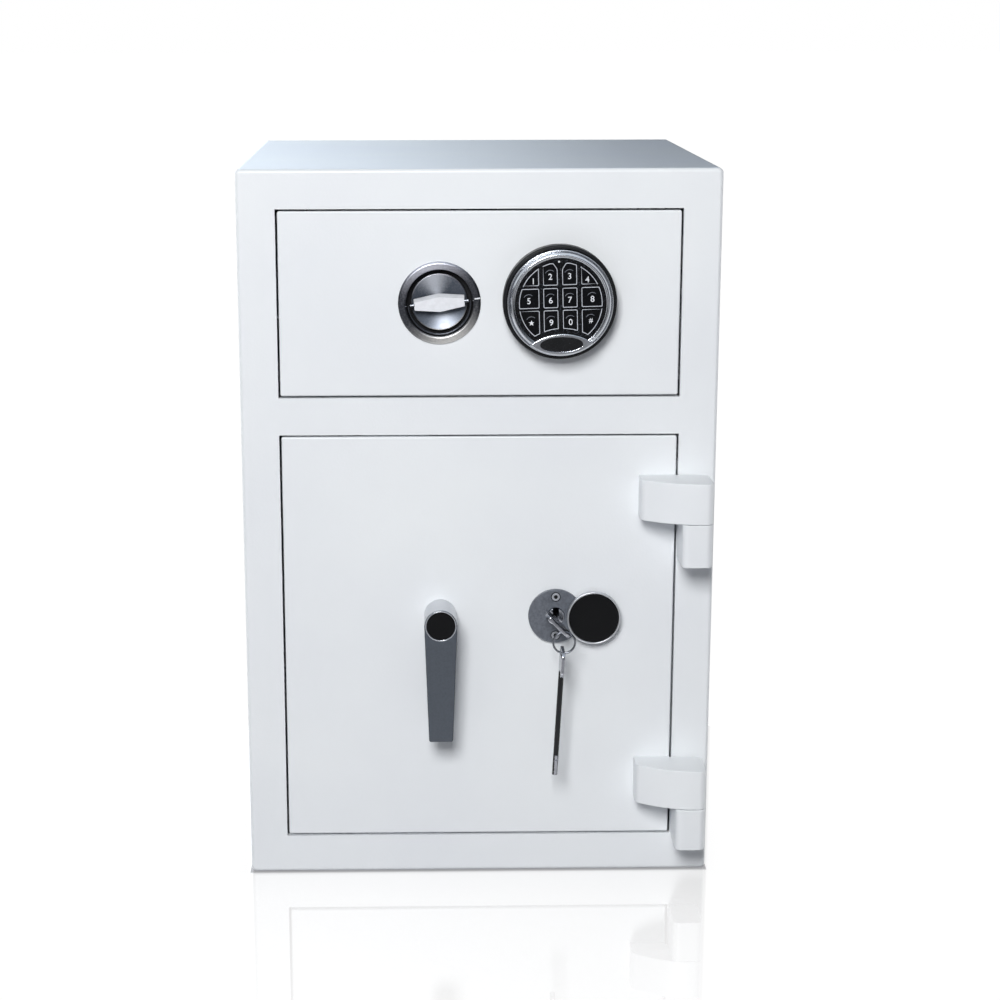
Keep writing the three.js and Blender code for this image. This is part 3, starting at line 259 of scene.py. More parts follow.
whiteEnamel = enamel("powderCoat", paint(236, 239, 243), 0.36, 0.00014)
# The top's copy of the powder coat is tinted blue as painted cool shade, with a coarser peel
topEnamelPaintedBlueShade = enamel("powderCoatTop", paint(226, 234, 247), 0.34, 0.0006, 430)
insideEnamel = enamel("insideCoat", paint(206, 209, 213), 0.5, 0.00006)
zincSheet = zinc("zincPlate", paint(176, 181, 186))
brightSteel = plainMetal("brightSteel", paint(196, 198, 201), 0.26, 0.12, 60)
# How far the painted reflection wedges lean from upright
paintedWedgeLean = radians(15)
# The pull's flange and dish carry painted reflection wedges
pullSteelPaintedWedges = spunMetalPaintedWedges("spunFlange", paint(58, 60, 66), paint(196, 197, 207), paint(206, 205, 203), 3, 0.36)
dishSteelPaintedWedges = spunMetalPaintedWedges("spunDish", paint(80, 86, 96), paint(200, 204, 212), paint(160, 166, 177), 7, 0.46)
bailSteel = plainMetal("satinBail", paint(224, 226, 231), 0.6, 0.14, 220, 0.15)
# Near-black finish for the pull's groove, painted shade for the deep gap
pullGroove = speckled("pullGroove", paint(16, 17, 20), paint(34, 35, 40), 0.5)
wireSteel = plainMetal("darkWire", paint(86, 89, 96), 0.3, 0.2, 200)
chrome = plainMetal("chrome", paint(208, 211, 217), 0.19, 0.05, 40)
keySteel = plainMetal("keySteel", paint(170, 172, 179), 0.22, 0.25, 240)
ringSteel = plainMetal("ringSteel", paint(128, 131, 138), 0.25, 0.25, 240)
screwGrey = plainMetal("screwGrey", paint(168, 171, 178), 0.45, 0.2, 300, 0.3)
escutcheonGrey = plainMetal("escutcheonGrey", paint(112, 117, 126), 0.4, 0.3, 520, 0.35, 0.00002)
# Painted shade in the screws' sockets and round their heads, and a painted dark reflection on the spare
# key's shank
paintedShadeAndReflectionSteel = plainMetal("darkShank", paint(24, 25, 28), 0.22, 0.3, 300, 0.4)
slate = plainMetal("slateCoat", paint(80, 86, 95), 0.46, 0.16, 700, 0.35, 0.00002)
palePlate = plainMetal("paleNickel", paint(206, 208, 212), 0.3, 0.08, 80, 0.9)
faceBlack = speckled("keypadFace", paint(9, 10, 13), paint(72, 76, 84), 0.25)
keyBlack = speckled("keyPlastic", paint(6, 7, 10), paint(26, 28, 34), 0.23)
baseBlack = speckled("baseMoulding", paint(14, 15, 18), paint(40, 42, 46), 0.42)
inlayBlack = speckled("blackInlay", paint(7, 8, 10), paint(16, 17, 20), 0.22)
keyLine = plainMetal("keyLine", paint(206, 210, 219), 0.4, 0.1, 200, 0)
keyShine = plainMetal("keyShine", paint(112, 116, 126), 0.4, 0.2, 300, 0)
digitWhite = plainMetal("digitInk", paint(232, 235, 240), 0.5, 0.05, 300, 0)
lampWhite = plainMetal("lampLens", paint(240, 242, 246), 0.2, 0.05, 300, 0)
print("finishes made")


# Shapes

def frontPlace(spot):
    turn = Matrix.Rotation(-spot["turn"], 4, "Y")
    move = Matrix.Translation((spot["across"], frontY, spot["up"]))
    return Matrix.Scale(millimetre, 4) @ move @ turn


def arc(centreX, centreZ, radius, start, end, steps):
    angles = [radians(start + (end - start) * i / steps) for i in range(steps + 1)]
    return [(centreX + radius * cos(a), centreZ + radius * sin(a)) for a in angles]


def curveTo(start, middle, end, steps):
    points = []
    for i in range(1, steps + 1):
        t = i / steps
        points.append(tuple(
            (1 - t) ** 2 * a + 2 * t * (1 - t) * b + t ** 2 * c for a, b, c in zip(start, middle, end)))
    return points


def rectangle(x0, x1, z0, z1, corner=0, steps=6):
    if not corner:
        return [(x0, z0), (x1, z0), (x1, z1), (x0, z1)]
    return (arc(x0 + corner, z0 + corner, corner, 180, 270, steps)
            + arc(x1 - corner, z0 + corner, corner, 270, 360, steps)
            + arc(x1 - corner, z1 - corner, corner, 0, 90, steps)
            + arc(x0 + corner, z1 - corner, corner, 90, 180, steps))


cornerTurn = 20
samePlace = 1e-9


def softened(points, radius, steps=4, closed=True):
    # Rounds each corner of a line that turns by more than cornerTurn degrees
    soft = []
    count = len(points)
    for i, point in enumerate(points):
        here = Vector(point)
        if not closed and i in (0, count - 1):
            soft.append(tuple(here))
            continue
        before = Vector(points[i - 1]) - here
        after = Vector(points[(i + 1) % count]) - here
        if before.length < samePlace or after.length < samePlace:
            continue
        if degrees(pi - before.angle(after)) < cornerTurn:
            soft.append(tuple(here))
            continue
        cut = min(radius, before.length * 0.48, after.length * 0.48)
        start = here + before.normalized() * cut
        end = here + after.normalized() * cut
        soft.append(tuple(start))
        soft.extend(curveTo(start, here, end, steps))
    return soft


def grown(points, distance):
    # Moves a closed outline outwards, or inwards where the distance is negative
    count = len(points)
    area = sum(points[i - 1][0] * points[i][1] - points[i][0] * points[i - 1][1] for i in range(count))
    side = 1 if area > 0 else -1
    result = []
    for i in range(count):
        before = (Vector(points[i]) - Vector(points[i - 1])).normalized()
        after = (Vector(points[(i + 1) % count]) - Vector(points[i])).normalized()
        along = (before + after).normalized()
        lean = max(along.dot(after), 0.5)
        result.append((points[i][0] + side * along.y * distance / lean,
                       points[i][1] - side * along.x * distance / lean))
    return result


def outward(shape):
    bmesh.ops.recalc_face_normals(shape, faces=shape.faces)
    return shape


def roundEdges(shape, edges, width, steps):
    bmesh.ops.bevel(shape, geom=edges, offset=width, offset_type="OFFSET", segments=steps,
                    profile=0.5, affect="EDGES", clamp_overlap=True)


def plate(outline, back, front, frontEdge=0, backEdge=0, steps=3):
    shape = bmesh.new()
    backRing = [shape.verts.new((x, -back, z)) for x, z in outline]
    frontRing = [shape.verts.new((x, -front, z)) for x, z in outline]
    count = len(outline)
    shape.faces.new(backRing)
    shape.faces.new(frontRing)
    for i in range(count):
        j = (i + 1) % count
        shape.faces.new((backRing[i], backRing[j], frontRing[j], frontRing[i]))
    outward(shape)
    for out, edge in ((front, frontEdge), (back, backEdge)):
        if edge:
            rim = [e for e in shape.edges if all(abs(v.co.y + out) < 1e-5 for v in e.verts)]
            roundEdges(shape, rim, edge, steps)
    return shape


def block(x0, x1, back, front, z0, z1):
    return plate(rectangle(x0, x1, z0, z1), back, front)


def turned(profile, segments, ring=False):
    # Turns (radius, out) points about the front-to-back axis; a ring's profile is closed
    shape = bmesh.new()
    rows = []
    for radius, out in profile:
        if radius < 1e-6:
            rows.append([shape.verts.new((0, -out, 0))])
        else:
            rows.append([shape.verts.new((
                radius * cos(2 * pi * i / segments), -out,
                radius * sin(2 * pi * i / segments))) for i in range(segments)])
    pairs = list(zip(rows, rows[1:]))
    if ring:
        pairs.append((rows[-1], rows[0]))
    for near, far in pairs:
        for i in range(segments):
            j = (i + 1) % segments
            if len(near) == 1 and len(far) == 1:
                continue
            if len(near) == 1:
                shape.faces.new((near[0], far[i], far[j]))
            elif len(far) == 1:
                shape.faces.new((near[i], near[j], far[0]))
            else:
                shape.faces.new((near[i], near[j], far[j], far[i]))
    return outward(shape)


def lathe(profile, soft, steps, segments, ring=False):
    # A turned shape whose corners are rounded
    return turned(softened(profile, soft, steps, ring), segments, ring)


def rod(radius, back, front, segments, soft=0):
    profile = [(0, back), (radius, back), (radius, front), (0, front)]
    return lathe(profile, soft, 4, segments) if soft else turned(profile, segments)


def bentWire(radius, wire, angles, closed):
    # A round wire bent about the front-to-back axis
    shape = bmesh.new()
    sides = 16
    loops = []
    for angle in angles:
        loop = []
        for k in range(sides):
            around = 2 * pi * k / sides
            reach = radius + wire * cos(around)
            loop.append(shape.verts.new((
                reach * cos(angle), wire * sin(around), reach * sin(angle))))
        loops.append(loop)
    for near, far in zip(loops, loops[1:] + loops[:1] if closed else loops[1:]):
        for k in range(sides):
            m = (k + 1) % sides
            shape.faces.new((near[k], near[m], far[m], far[k]))
    if not closed:
        shape.faces.new(loops[0])
        shape.faces.new(loops[-1])
    return outward(shape)


def moved(shape, offset=(0, 0, 0), turn=None):
    if turn:
        shape.transform(Matrix.Rotation(turn[0], 4, turn[1]))
    shape.transform(Matrix.Translation(offset))
    return shape


def newObject(name, data):
    item = bpy.data.objects.new(name, data)
    bpy.context.scene.collection.objects.link(item)
    return item


def looseObject(shape, name):
    mesh = bpy.data.meshes.new(name)
    shape.to_mesh(mesh)
    shape.free()
    return newObject(name, mesh)


def settled(item, *helpers):
    # The item's shape after its modifiers; the item and its helpers then go
    graph = bpy.context.evaluated_depsgraph_get()
    mesh = bpy.data.meshes.new_from_object(item.evaluated_get(graph))
    shape = bmesh.new()
    shape.from_mesh(mesh)
    used = (item, *helpers)
    bpy.data.batch_remove([mesh, *(thing.data for thing in used), *used])
    return shape


def carved(shape, tools, operation="DIFFERENCE"):
    base = looseObject(shape, "carveBase")
    cutters = [looseObject(tool, "carveTool") for tool in tools]
    for cutter in cutters:
        step = base.modifiers.new("carve", "BOOLEAN")
        step.operation = operation
        step.solver = "EXACT"
        step.object = cutter
    return settled(base, *cutters)


def bevelled(shape, width, steps, least, chosen=lambda edge: True):
    sharp = [e for e in shape.edges if len(e.link_faces) == 2
             and degrees(e.calc_face_angle()) > least and chosen(e)]
    roundEdges(shape, sharp, width, steps)


def nodeCopy(name):
    # The node's own solid, merged, still in metres at its place
    shape = bmesh.new()
    shape.from_mesh(frame["nodes"][name].data)
    bmesh.ops.remove_doubles(shape, verts=shape.verts, dist=1e-6)
    return shape


def addPiece(name, shape, place, finishes, body, replaced=(), sharp=34):
    shape.transform(place)
    bmesh.ops.remove_doubles(shape, verts=shape.verts, dist=1e-7)
    piece = looseObject(outward(shape), name)
    mesh = piece.data
    for finish in finishes:
        mesh.materials.append(finish)
    mesh.shade_smooth()
    mesh.set_sharp_from_angle(angle=radians(sharp))
    normals = piece.modifiers.new("flatFaces", "WEIGHTED_NORMAL")
    normals.keep_sharp = True
    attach(piece, body)
    if replaced:
        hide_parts(*replaced)
    return piece


def runGeometry(tree, shape, values):
    # Runs a node tree on a shape and gives the result back as a plain shape
    item = looseObject(shape, "geometryInput")
    step = item.modifiers.new("geometry", "NODES")
    step.node_group = tree
    for socket in tree.interface.items_tree:
        if socket.item_type == "SOCKET" and socket.name in values:
            step[socket.identifier] = values[socket.name]
    result = settled(item)
    for face in result.faces:
        face.material_index = 0
    return result


def geometryTree(name, inputs, make):
    # A node tree that makes its geometry, turns copies into plain mesh and sets the finish
    tree = bpy.data.node_groups.new(name, "GeometryNodeTree")
    for way in ("INPUT", "OUTPUT"):
        tree.interface.new_socket("Geometry", in_out=way, socket_type="NodeSocketGeometry")
    tree.interface.new_socket("Finish", in_out="INPUT", socket_type="NodeSocketMaterial")
    for socketName, (kind, value) in inputs.items():
        socket = tree.interface.new_socket(socketName, in_out="INPUT", socket_type="NodeSocket" + kind)
        socket.default_value = value
    nodes = Nodes(tree)
    entry = tree.nodes.new("NodeGroupInput")
    given = {socket.name: Value(nodes, socket) for socket in entry.outputs if socket.name}
    plain = nodes.add("GeometryNodeRealizeInstances", None, {"Geometry": make(nodes, given)})
    done = nodes.add("GeometryNodeSetMaterial", None, {"Geometry": plain, "Material": given["Finish"]})
    nodes.add("NodeGroupOutput", None, {"Geometry": done})
    return tree


# Cabinet

cabinet = {
    "halfWidth": 175, "depth": 350, "height": 535, "edge": 3, "corner": 4, "wall": 3, "frame": 6,
    "openingHalf": 147, "drawerOpening": (369.5, 506.5), "doorOpening": (29.5, 342),
    "openingEdge": 2.6, "anchorRadius": 6, "anchorInset": 70,
    "stopLeft": -87, "stopRight": -37, "stopThickness": 3, "stopFoot": 9, "stopReach": 6, "stopGap": 0.3,
}


def makeCabinet(size):
    half, high, deep = size.halfWidth, size.height, size.depth
    body = plate(rectangle(-half, half, 0, high, size.corner, 8), -deep, 0, size.edge, size.edge, 6)
    wall, skin = size.wall, size.frame
    tools = [block(wall - half, half - wall, wall - deep, -skin, wall, high - wall)]
    for low, top in (size.drawerOpening, size.doorOpening):
        tools.append(block(-size.openingHalf, size.openingHalf, -skin - 1, 1, low, top))
    for x in (-1, 1):
        for y in (-1, 1):
            hole = moved(rod(size.anchorRadius, -5, 5, 32), turn=(pi / 2, "X"))
            tools.append(moved(hole, (
                x * (half - size.anchorInset), deep / 2 + y * (deep / 2 - size.anchorInset), 0)))
    body = carved(body, tools)
    stops = []
    doorLow, doorTop = size.doorOpening
    back = -skin - size.stopThickness
    for edgeZ, inward in ((doorTop, -1), (doorLow, 1)):
        foot = edgeZ - inward * size.stopFoot
        for end, front in ((edgeZ, 1 - skin), (edgeZ + inward * size.stopReach, -skin - size.stopGap)):
            stops.append(block(size.stopLeft, size.stopRight, back, front, min(foot, end), max(foot, end)))
    body = carved(body, stops, "UNION")
    bevelled(body, size.openingEdge, 3, 60, lambda e: all(abs(v.co.y) < 1e-4 for v in e.verts))
    # Top faces take the blue-tinted copy of the powder coat as painted shade
    for face in body.faces:
        face.normal_update()
        if face.normal.z > 0.9 and face.calc_center_median().z > high - 1:
            face.material_index = 1
    place = frontPlace({"across": 0, "up": 0, "turn": 0})
    addPiece("cabinetBody", body, place, [whiteEnamel, topEnamelPaintedBlueShade], "cabinet",
             ("cabinet_shell", "front_frame"))


makeCabinet(SimpleNamespace(**cabinet))
print("cabinet made")


# Drawer front and door plate

for name, body, node in (("drawerPanel", "drawer", "drawer_front"), ("doorPanel", "door", "door_plate")):
    addPiece(name, nodeCopy(node), Matrix.Identity(4), [whiteEnamel], body, (node,))


# Hinges

hinge = {
    "axisX": 158.5, "axisY": -196, "leafHeight": 30.4, "knuckleHeight": 32, "gap": 0.3, "edge": 0.7,
    "reach": 40.5, "out": 21, "leftOut": 20, "crest": 16, "crestX": 16.2, "side": 11, "corner": 5,
    "swing": 19.5, "panelX": -13, "knuckleLeft": -11.2, "pinRadius": 5, "pinDepth": 24, "pinSlack": 0.4,
    "bottoms": {"upper": 281, "lower": 61.5},
}


def makeHinges(size):
    corner, side, crest, out = size.corner, size.side, size.crest, size.out
    leftY = out - size.leftOut
    bend = (-size.reach + corner, leftY - corner / 2)
    leaf = [(-size.reach, out), (-size.reach, leftY + corner)]
    leaf += curveTo(leaf[-1], (-size.reach, leftY), bend, 6)
    leaf += curveTo(bend, (-size.crestX, -crest), (side - corner, -crest), 14)
    leaf += arc(side - corner, corner - crest, corner, -90, 0, 8)[1:]
    turn = degrees(acos(side / size.swing))
    leaf += arc(0, 0, size.swing, turn, 90, 8)
    leaf += [(size.panelX, size.swing), (size.panelX, out)]
    knuckle = [(size.knuckleLeft, out)]
    knuckle += arc(size.knuckleLeft + corner, corner - crest, corner, 180, 270, 8)
    knuckle += arc(side - corner, corner - crest, corner, -90, 0, 8)
    knuckle += [(side, out)]
    bore = size.pinRadius + size.pinSlack
    gap, deep = size.gap, size.pinDepth
    # An outline drawn as (x, y) stands up along Z
    standing = Matrix(((1, 0, 0, 0), (0, 0, 1, 0), (0, 1, 0, 0), (0, 0, 0, 1)))
    parts = (("Leaf", leaf, "door", 0, size.leafHeight, -1, deep + gap),
             ("Knuckle", knuckle, "cabinet", -size.knuckleHeight - gap, -gap, -deep - 2 * gap, 1))
    for level, bottom in size.bottoms.items():
        place = Matrix.Scale(millimetre, 4) @ Matrix.Translation((size.axisX, size.axisY, bottom))
        for part, outline, body, low, high, boreLow, boreHigh in parts:
            solid = plate(outline, -high, -low, size.edge, size.edge, 3)
            solid = carved(solid, [rod(bore, -boreHigh, -boreLow, 40)])
            solid.transform(standing)
            addPiece(level + part, solid, place, [whiteEnamel], body,
                     (f"{level}_hinge_{part.lower()}",))


makeHinges(SimpleNamespace(**hinge))
print("panels and hinges made")


# Pull

pull = {
    "flange": 30, "flangeThick": 2.2, "wall": 25.2, "mouth": 24.2, "depth": 14, "groove": 9,
    "dish": 20.6, "rim": 0.8, "rimDepth": 5.2, "dishDepth": 7.8, "segments": 128,
    "axis": 1, "barHalf": 18.5, "barMiddle": 6.45, "barEnd": 3.95, "barBack": -4.3, "barFront": 2.3,
    "barInset": 0.3, "lowFall": 0.8, "barSlope": 0.9, "ridge": 0.8, "topFall": 2.6, "barTopBevel": 2.1,
    "barEdge": 0.16, "hoop": 22.6, "wire": 0.6, "pin": 1.3, "pinStart": 18, "pinReach": 21.4,
    "pinHole": 1.4, "pinHoleReach": 24.9, "tickStart": 25.6, "tickEnd": 29.7, "tickHalf": 0.5,
    "tickBack": 1.9, "tickFront": 2.3, "tickTurn": radians(2),
    "flangeEdge": 1.1, "flangeSlope": 1.3, "mouthSlope": 0.9, "mouthEdge": 1.3, "soft": 0.5,
}


def makePull(size):
    place = frontPlace(pullPlace)
    inner = size.dish - size.rim
    fall = size.dishDepth - size.rimDepth
    profile = softened([
        (0, -size.depth), (size.wall, -size.depth), (size.wall, 0), (size.flange, 0),
        (size.flange, size.flangeEdge), (size.flange - size.flangeSlope, size.flangeThick),
        (size.mouth + size.mouthSlope, size.flangeThick), (size.mouth, size.mouthEdge),
        (size.mouth, -size.groove), (size.dish, -size.groove), (size.dish, -size.rimDepth),
        (inner, -size.rimDepth)], size.soft, 4, False)
    rings = 24
    for ring in range(1, rings + 1):
        share = 1 - ring / rings
        profile.append((inner * share, -size.rimDepth - fall * (1 - share * share)))
    pinHole = moved(rod(size.pinHole, -size.pinHoleReach, size.pinHoleReach, 24), turn=(pi / 2, "Z"))
    moved(pinHole, (0, -size.axis, 0))
    cup = carved(turned(profile, size.segments), [pinHole])
    # Faces in the groove take the near-black finish as painted shade, and the dish takes its own finish
    # with painted reflection wedges
    for face in cup.faces:
        middle = face.calc_center_median()
        radius = hypot(middle.x, middle.z)
        if size.dish + 0.05 < radius < size.mouth + 0.05 and -middle.y < 0.6:
            face.material_index = 1
        elif radius <= inner + 0.02:
            face.material_index = 2
    addPiece("pullCup", cup, place, [pullSteelPaintedWedges, pullGroove, dishSteelPaintedWedges], "drawer",
             ("pull_cup",), 30)
    # A painted highlight: a short white line on the flange in line with the bar
    flangeGlint = block(size.tickStart, size.tickEnd, size.tickBack, size.tickFront, -size.tickHalf, size.tickHalf)
    moved(flangeGlint, turn=(-size.tickTurn, "Y"))
    addPiece("pullTick", flangeGlint, place, [digitWhite], "drawer")

    # The bar is a flat hexagon whose front leans back, with a steeper bevel along its top
    half, end, middle, inset = size.barHalf, size.barEnd, size.barMiddle, size.barInset
    front, top = size.barFront, size.barTopBevel
    upper = front - size.barSlope
    hexagon = [(-half, -end), (0, -middle), (half, -end), (half, end), (0, middle), (-half, end)]
    bar = bmesh.new()
    rings = [
        [bar.verts.new((x, -size.barBack, z)) for x, z in hexagon],
        [bar.verts.new((x, size.topFall - upper if z > 0 else size.lowFall - front, z))
         for x, z in hexagon],
        [bar.verts.new((x, -out, z)) for x, out, z in (
            (-half + inset, front, inset - end), (0, front + size.ridge, inset - middle),
            (half - inset, front, inset - end), (half - inset, upper, end - top),
            (0, upper + size.ridge, middle - top), (-half + inset, upper, end - top))]]
    for near, far in zip(rings, rings[1:]):
        for i in range(6):
            j = (i + 1) % 6
            bar.faces.new((near[i], near[j], far[j], far[i]))
    lip = rings[2]
    for corners in (rings[0], (lip[0], lip[1], lip[4], lip[5]), (lip[1], lip[2], lip[3], lip[4])):
        bar.faces.new(corners)
    bevelled(outward(bar), size.barEdge, 2, 20)
    steps = 64
    bends = [pi + pi * i / steps for i in range(steps + 1)]
    hoop = moved(bentWire(size.hoop, size.wire, bends, False), (0, -size.axis, 0))
    addPiece("bailHoop", hoop, place, [wireSteel], "bail", (), 30)
    for name, turn in (("bailPinLeft", -pi / 2), ("bailPinRight", pi / 2)):
        pin = moved(rod(size.pin, size.pinStart, size.pinReach, 32, 0.3), turn=(turn, "Z"))
        addPiece(name, moved(pin, (0, -size.axis, 0)), place, [ringSteel], "bail", (), 30)
    addPiece("pullBail", bar, place, [bailSteel], "bail", ("pull_bail",), 30)


makePull(SimpleNamespace(**pull))
print("pull made")


# Keypad

keypad = {
    "baseRadius": 41, "backRadius": 39.5, "baseDepth": 12, "rimFront": 17, "rimInner": 38.3, "rimEdge": 0.8,
    "stemRadius": 5, "stemLength": 9, "seat": 32.7, "bezelRadius": 38, "bezelFront": 25,
    "faceRadius": 32.4, "faceFront": 23, "keyFront": 24, "keyBack": 22.6, "pocketBack": 21.3, "gap": 0.35,
    "field": 30, "cutRadius": 38.4, "cutUp": -56.5, "keyCorner": 1.3, "keyEdge": 0.3,
    "bead": 0.28, "beadInset": 0.42, "lampCut": 3.4,
    "columns": [(-30.39, -15.09), (-12.51, -1.71), (1.2, 12.09), (14.79, 30.09)],
    "rows": [(13.11, 29.19), (-3, 11.49), (-23.01, -4.29)],
    "keys": [
        [("1", (-19.3, 16.7)), ("2", (-7.1, 19.6)), ("3", (6.65, 19.6)), ("4", (19.2, 16.8))],
        [("5", (-22.8, 2.7)), ("6", (-7.1, 2.7)), ("7", (6.65, 2.7)), ("8", (22.7, 2.8))],
        [("star", (-21.2, -13.2)), ("9", (-7, -13.2)), ("0", (6.8, -13.2)), ("hash", (21.3, -12.8))],
    ],
    "digitHeight": 4.3, "digitThick": 0.08, "digitSwell": 0.03, "starInner": 0.21, "starThick": 0.12,
    "fontShare": 1.42, "hashShare": 1.15, "gleamWire": 0.24, "gleamSunk": 0.05, "segments": 160,
    # From outside in, as (inward, down): a bright lip, a narrow groove, the rounded band, a lip
    "bezelSteps": [(0, 4), (0.3, 3.5), (0.75, 3.5), (1, 4.3), (1.3, 4.2), (1.9, 1.7), (3, 0), (4, 0),
                   (4.6, 1)],
    "bezelInnerFall": 1.1, "lampSpot": (-0.6, 29.9), "lampRadius": 0.75, "lampBack": 22.8,
    "lampFront": 23.4, "lampCrown": 23.55,
    "plateUp": -60.5, "plateRadius": 39, "plateOuter": 36.9, "plateFront": 25.6, "plateSeat": 24.7,
    "blankHalf": 15.4, "blankRise": 5.4, "blankUp": -29.2, "blankFront": 25.1, "blankGap": 0.15,
    "shineRadius": 3.9, "shineStart": 50, "shineEnd": 150, "shineUp": 0.7,
}


def clippedKey(cell, size):
    # The cell inside the key field's circle and outside the circle that clears the name plate
    (x0, x1), (z0, z1) = cell
    ring = arc(0, 0, size.field, 0, 360, 120)[:-1]
    outline = [(x0, z0), (x1, z0), (x1, z1), (x0, z1)]
    cut = size.lampCut
    across, up = size.lampSpot
    if z1 > up - cut and x0 < across < x1 + cut:
        outline[2:3] = [(x1, z1 - cut - 1), (x1 - cut + 0.5, z1)]
    elif z1 > up - cut and x0 - cut < across < x1:
        outline[3:] = [(x0 + cut - 0.5, z1), (x0, z1 - cut - 1)]
    for i, end in enumerate(ring):
        start = Vector(ring[i - 1])
        way = Vector(end) - start
        kept = []
        for k, point in enumerate(outline):
            last, here = Vector(outline[k - 1]), Vector(point)
            sideLast, sideHere = way.cross(last - start), way.cross(here - start)
            if (sideLast >= 0) != (sideHere >= 0):
                kept.append(tuple(last.lerp(here, sideLast / (sideLast - sideHere))))
            if sideHere >= 0:
                kept.append(point)
        outline = kept
    centre = Vector((0, size.cutUp))

    def within(point):
        return (point - centre).length < size.cutRadius

    if not any(within(Vector(point)) for point in outline):
        return outline
    kept = []
    enter = None
    for k, point in enumerate(outline):
        last, here = Vector(outline[k - 1]), Vector(point)
        if within(last) != within(here):
            # The crossing lies between these two shares of the side, halved until they meet
            low, high = 0, 1
            for _ in range(40):
                half = (low + high) / 2
                if within(last.lerp(here, half)) == within(last):
                    low = half
                else:
                    high = half
            crossing = last.lerp(here, low)
            if within(last) and enter is not None:
                first, final = (atan2(p.y - centre.y, p.x - centre.x) for p in (enter, crossing))
                kept += arc(0, centre.y, size.cutRadius, degrees(first), degrees(final), 7)[1:-1]
            enter = None if within(last) else crossing
            kept.append(tuple(crossing))
        if not within(here):
            kept.append(point)
    return kept


def beadShape(nodes, given):
    # A round bead along an outline
    curve = nodes.add("GeometryNodeMeshToCurve", None, {"Mesh": given["Geometry"]})
    profile = nodes.add("GeometryNodeCurvePrimitiveCircle", None, {
        "Resolution": given["Sides"], "Radius": given["Radius"]})
    return nodes.add("GeometryNodeCurveToMesh", None, {"Curve": curve, "Profile Curve": profile})


beadTree = geometryTree("keyBead", {"Radius": ("Float", 0.2), "Sides": ("Int", 8)}, beadShape)


def beadAlong(points, closed, radius, finish):
    path = bmesh.new()
    ring = [path.verts.new(point) for point in points]
    for near, far in zip(ring, ring[1:] + ring[:1] if closed else ring[1:]):
        path.edges.new((near, far))
    return runGeometry(beadTree, path, {"Radius": radius, "Sides": 8, "Finish": finish})


def digitShape(mark, size):
    height = size.digitHeight
    if mark == "star":
        points = []
        for i in range(10):
            reach = height * (0.5 if i % 2 == 0 else size.starInner)
            angle = pi / 2 + i * pi / 5
            points.append((reach * cos(angle), reach * sin(angle)))
        return plate(points, 0, size.starThick)
    text = bpy.data.curves.new("digitText", "FONT")
    text.body = "#" if mark == "hash" else mark
    text.size = height * (size.hashShare if mark == "hash" else size.fontShare)
    text.extrude = size.digitThick
    text.offset = size.digitSwell
    shape = settled(newObject("digitText", text))
    low, high = (Vector([pick(v.co[i] for v in shape.verts) for i in range(3)]) for pick in (min, max))
    shape.transform(Matrix.Rotation(pi / 2, 4, "X") @ Matrix.Translation(-(low + high) / 2))
    return moved(shape, (0, -size.digitThick, 0))


def lens(size):
    # The blank name plate: the key field's lower arc above, the bezel's arc below
    upper, lower = size.plateRadius, size.plateOuter
    up = size.plateUp
    meetZ = (lower ** 2 - upper ** 2 + up ** 2) / (2 * up)
    meetX = sqrt(lower ** 2 - meetZ ** 2)
    above = degrees(atan2(meetZ - up, meetX))
    below = degrees(atan2(meetZ, meetX))
    return arc(0, up, upper, above, 180 - above, 28)[:-1] + arc(0, 0, lower, -180 - below, below, 28)[:-1]


